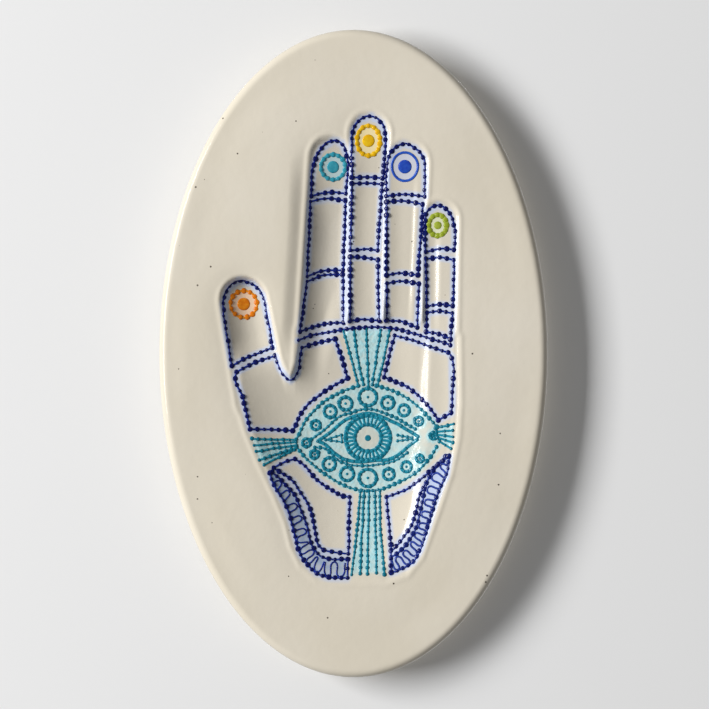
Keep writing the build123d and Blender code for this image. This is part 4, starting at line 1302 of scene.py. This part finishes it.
class HAMSA_OT_palm(bpy.types.Operator):
    """String the beads of the palm's arc and panels"""

    bl_idname = "hamsa.palm"
    bl_label = "Palm beads"

    def execute(self, context):
        for number, (node, strokes) in enumerate(PALM_LINES.items()):
            name = f"{node}_beads"
            as_piece(name, [beaded(name, strokes, "cobalt", SEEDS["palm"] + number)], node)
        return {"FINISHED"}


class HAMSA_OT_cuffs(bpy.types.Operator):
    """Paint the coiled cuffs at the wrist"""

    bl_idname = "hamsa.cuffs"
    bl_label = "Cuffs"

    turns: IntProperty(name="Turns", description="Strokes of the coil across each cuff", default=21)

    def coil(self, outer, inner):
        """Hairpin strokes that swing between the two lines."""
        points = []
        for i in range(2 * self.turns):
            far = polyline_at(outer, COIL_START + COIL_RUN * i / (2 * self.turns - 1))
            near = nearest_point(inner, far)
            points.append(lerp(far, near, COIL_SIDES[i % len(COIL_SIDES)]))
        return points

    def execute(self, context):
        for number, (node, (strokes, enamel, thread)) in enumerate(CUFFS.items()):
            name = f"{node}_coil"
            outer, inner = strokes[:2]
            lines = beaded(f"{name}_lines", strokes, enamel, SEEDS["cuffs"] + number)
            coil = beaded(f"{name}_turns", [self.coil(outer, inner)], enamel, bead=0.0, thread=thread)
            as_piece(name, [lines, coil], node)
        return {"FINISHED"}


class HAMSA_OT_eye(bpy.types.Operator):
    """Paint the eye in the palm"""

    bl_idname = "hamsa.eye"
    bl_label = "Eye"

    strokes: IntProperty(name="Strokes", description="Radial strokes in the iris", default=29)

    def paint(self, name, strokes, brush, seed=0, closed=False):
        return beaded(name, strokes, "turquoise", seed, closed, **TURQUOISE_BRUSHES[brush])

    def execute(self, context):
        x, z = EYE_CENTRE
        first = SEEDS["eye"]
        spokes = zip(circle_points(x, z, IRIS_INNER, count=self.strokes),
                     circle_points(x, z, IRIS_OUTER, count=self.strokes))
        rings = [circle_points(cx, cz, radius - RINGLET_LINE, count=RINGLET_KNOTS)
                 for cx, cz, radius in RINGLETS]
        dots = [(cx, cz, RINGLET_DOT) for cx, cz, _ in RINGLETS]
        pieces = [
            ("eye_outline_beads", "eye_outline", [
                self.paint("eye_outline_beads", EYE_OUTLINE, "outline", first),
            ]),
            ("eyelid_strokes", "eyelids", [
                self.paint("lids_dotted", LIDS_DOTTED, "dotted_lid", first + 1),
                self.paint("lids_solid", LIDS_SOLID, "solid_lid", first + 2),
            ]),
            ("iris_ring", "iris", [
                self.paint("iris_rim", [circle_points(x, z, IRIS_OUTER)], "iris_rim", closed=True),
                self.paint("iris_inner", [circle_points(x, z, IRIS_INNER)], "iris_inner", closed=True),
                self.paint("iris_spokes", list(spokes), "iris_spoke"),
            ]),
            ("pupil_dab", "pupil", [dabbed("pupil_dab", [(x, z, PUPIL_RADIUS)], "turquoise")]),
            ("eye_ringed_dots", "eye_ringlets", [
                self.paint("ringlet_loops", rings, "ringlet", first + 3, closed=True),
                dabbed("ringlet_dots", dots, "turquoise", RINGLET_DOT_RISE),
            ]),
            ("eye_corner_strokes", "eye_corner_marks", [
                self.paint("eye_corner_strokes", EYE_MARKS, "corner", first + 4),
            ]),
        ]
        for name, node, meshes in pieces:
            as_piece(name, meshes, node)
        return {"FINISHED"}


class HAMSA_OT_rays(bpy.types.Operator):
    """Paint the bundles of rays round the eye"""

    bl_idname = "hamsa.rays"
    bl_label = "Rays"

    def execute(self, context):
        for number, (node, rays) in enumerate(RAYS.items()):
            name = f"{node}_strokes"
            mesh = beaded(name, rays, "turquoise", SEEDS["rays"] + number, **TURQUOISE_BRUSHES["ray"])
            as_piece(name, [mesh], node)
        return {"FINISHED"}


class HAMSA_OT_rosettes(bpy.types.Operator):
    """Paint the fingertip rosettes"""

    bl_idname = "hamsa.rosettes"
    bl_label = "Rosettes"

    def execute(self, context):
        for number, (finger, rosette) in enumerate(ROSETTES.items()):
            x, z, dot, half_width, half_height, lobes, lobe, line, enamel = rosette
            ring = [circle_points(x, z, half_width, half_height)]
            pitch = math.pi * (half_width + half_height) / max(lobes, 1)
            loop = beaded(f"{finger}_rosette_ring", ring, enamel, SEEDS["rosettes"] + number, closed=True,
                          thread=line, bead=lobe, pitch=pitch, jitter=ROSETTE_JITTER, wobble=ROSETTE_WOBBLE)
            centre = dabbed(f"{finger}_rosette_dot", [(x, z, dot)], enamel)
            as_piece(f"{finger}_rosette_paint", [loop, centre], f"{finger}_rosette")
        return {"FINISHED"}


class HAMSA_OT_hanger(bpy.types.Operator):
    """Finish the steel strap, its ring and the epoxy that beds it"""

    bl_idname = "hamsa.hanger"
    bl_label = "Hanger"

    def execute(self, context):
        colours = context.scene.hamsa_colours
        steel = hanger_steel(colours)
        finishes = {"hanger_strap": steel, "hanger_epoxy": epoxy_material(colours), "hanger_ring": steel}
        for node, material in finishes.items():
            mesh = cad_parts[node].data
            mesh.materials.clear()
            mesh.materials.append(material)
        return {"FINISHED"}


# Stage

ROOM_HALF, FLOOR_LEVEL, WALL_BEHIND = 2.0, -0.6, 0.0006
WALL_ROUGH = 0.9
KEY_PLACE, KEY_SIZE = (-2.48, -1.71, 0.55), (0.857, 1.836)
BACK_PLACE, BACK_SIZE = (0.0, 2.4, 0.2), (1.0, 1.0)
# The room behind the plaque, as the camera and mirrors see it: where it starts, and its strength.
ROOM_BEHIND, ROOM_PALE = (-0.1, 0.2), 0.88
SENSOR_WIDTH = 36.0


def plane_object(name, corners, material):
    """A plane of the stage that takes the plaque's shadow and throws no light back."""
    mesh = bpy.data.meshes.new(name)
    mesh.from_pydata(corners, [], [(0, 1, 2, 3)])
    mesh.materials.append(material)
    plane = add_object(name, mesh)
    plane.visible_diffuse = False
    plane.visible_glossy = False
    plane.visible_shadow = False


def wall_paint(colour):
    """Pale matt paint that is seen from the front only."""
    material, kit, shader = new_material("pale_wall")
    kit.fill(shader, Base_Color=rgba(colour), Roughness=WALL_ROUGH)
    clear = kit.add("ShaderNodeBsdfTransparent")
    side = kit.add("ShaderNodeNewGeometry")
    choice = kit.add("ShaderNodeMixShader", Fac=side.outputs["Backfacing"])
    kit.set(choice.inputs[1], shader.outputs["BSDF"])
    kit.set(choice.inputs[2], clear.outputs["BSDF"])
    kit.fill(kit.tree.nodes["Material Output"], Surface=choice.outputs["Shader"])
    return material


def area_light(name, place, size, power):
    """A lamp that is turned to the plaque's centre."""
    light = bpy.data.lights.new(name, "AREA")
    light.shape = "RECTANGLE"
    light.size, light.size_y = size
    light.energy = power
    lamp = add_object(name, light)
    lamp.location = place
    towards_plaque = Vector((0.0, 0.0, 0.0)) - Vector(place)
    lamp.rotation_euler = towards_plaque.to_track_quat("-Z", "Y").to_euler()


def room_light(fill):
    """Even light all round, with the room behind the plaque seen as pale."""
    world = bpy.data.worlds.new("room")
    world.use_nodes = True
    kit = NodeKit(world.node_tree)
    way = kit.add("ShaderNodeTexCoord").outputs["Generated"]
    axes = kit.add("ShaderNodeSeparateXYZ", Vector=way)
    behind = kit.ramp(axes.outputs["Y"], ROOM_BEHIND, FULL)
    path = kit.add("ShaderNodeLightPath")
    mirrored = kit.math("MULTIPLY", path.outputs["Is Glossy Ray"], behind)
    seen = kit.math("MAXIMUM", path.outputs["Is Camera Ray"], mirrored)
    strength = kit.ramp(seen, FULL, (fill, ROOM_PALE))
    kit.fill(kit.tree.nodes["Background"], Color=(1, 1, 1, 1), Strength=strength)
    return world


class HAMSA_OT_stage(bpy.types.Operator):
    """Set up the wall, the floor, the light and the camera"""

    bl_idname = "hamsa.stage"
    bl_label = "Stage"

    def execute(self, context):
        scene = context.scene
        stage = scene.hamsa_stage
        paint = wall_paint(stage.wall)
        across = (-ROOM_HALF, ROOM_HALF, ROOM_HALF, -ROOM_HALF)
        levels = (FLOOR_LEVEL, FLOOR_LEVEL, ROOM_HALF, ROOM_HALF)
        depths = (-ROOM_HALF, -ROOM_HALF, ROOM_HALF, ROOM_HALF)
        plane_object("wall", [(x, WALL_BEHIND, z) for x, z in zip(across, levels)], paint)
        plane_object("floor", [(x, y, FLOOR_LEVEL) for x, y in zip(across, depths)], paint)
        camera = bpy.data.cameras.new("camera")
        camera.lens = stage.lens
        viewer = add_object("camera", camera)
        distance = stage.frame_width * stage.lens / SENSOR_WIDTH
        viewer.location = (stage.aim_x, -(scene.hamsa_shape.face + distance), stage.aim_z)
        viewer.rotation_euler = (math.pi / 2, 0, 0)
        scene.camera = viewer
        area_light("key", KEY_PLACE, KEY_SIZE, stage.key)
        area_light("back_fill", BACK_PLACE, BACK_SIZE, stage.back)
        scene.world = room_light(stage.fill)
        scene.view_settings.view_transform = "Standard"
        return {"FINISHED"}


# Add-on

GROUPS = {
    "hamsa_shape": PlaqueShape,
    "hamsa_brush": EnamelBrush,
    "hamsa_colours": PlaqueColours,
    "hamsa_stage": PlaqueStage,
}
OPERATORS = (HAMSA_OT_body, HAMSA_OT_fingers, HAMSA_OT_palm, HAMSA_OT_cuffs, HAMSA_OT_eye, HAMSA_OT_rays,
             HAMSA_OT_rosettes, HAMSA_OT_hanger, HAMSA_OT_stage)


class HAMSA_PT_sidebar(bpy.types.Panel):
    """Lists the plaque's pieces and sizes"""

    bl_idname = "HAMSA_PT_sidebar"
    bl_label = "Hamsa Plaque"
    bl_space_type = "VIEW_3D"
    bl_region_type = "UI"
    bl_category = "Plaque"

    def draw(self, context):
        for operator in OPERATORS:
            self.layout.operator(operator.bl_idname)
        for group in GROUPS:
            owner = getattr(context.scene, group)
            for label in owner.__annotations__:
                self.layout.prop(owner, label)


def register():
    for cls in (*GROUPS.values(), *OPERATORS, HAMSA_PT_sidebar):
        bpy.utils.register_class(cls)
    for label, group in GROUPS.items():
        setattr(bpy.types.Scene, label, PointerProperty(type=group))


def unregister():
    for label in GROUPS:
        delattr(bpy.types.Scene, label)
    for cls in (HAMSA_PT_sidebar, *reversed(OPERATORS), *reversed(GROUPS.values())):
        bpy.utils.unregister_class(cls)


def main():
    register()
    bpy.ops.hamsa.body()
    bpy.ops.hamsa.fingers()
    bpy.ops.hamsa.palm()
    bpy.ops.hamsa.cuffs()
    bpy.ops.hamsa.eye()
    bpy.ops.hamsa.rays()
    bpy.ops.hamsa.rosettes()
    bpy.ops.hamsa.hanger()
    bpy.ops.hamsa.stage()


if __name__ == "__main__":
    main()
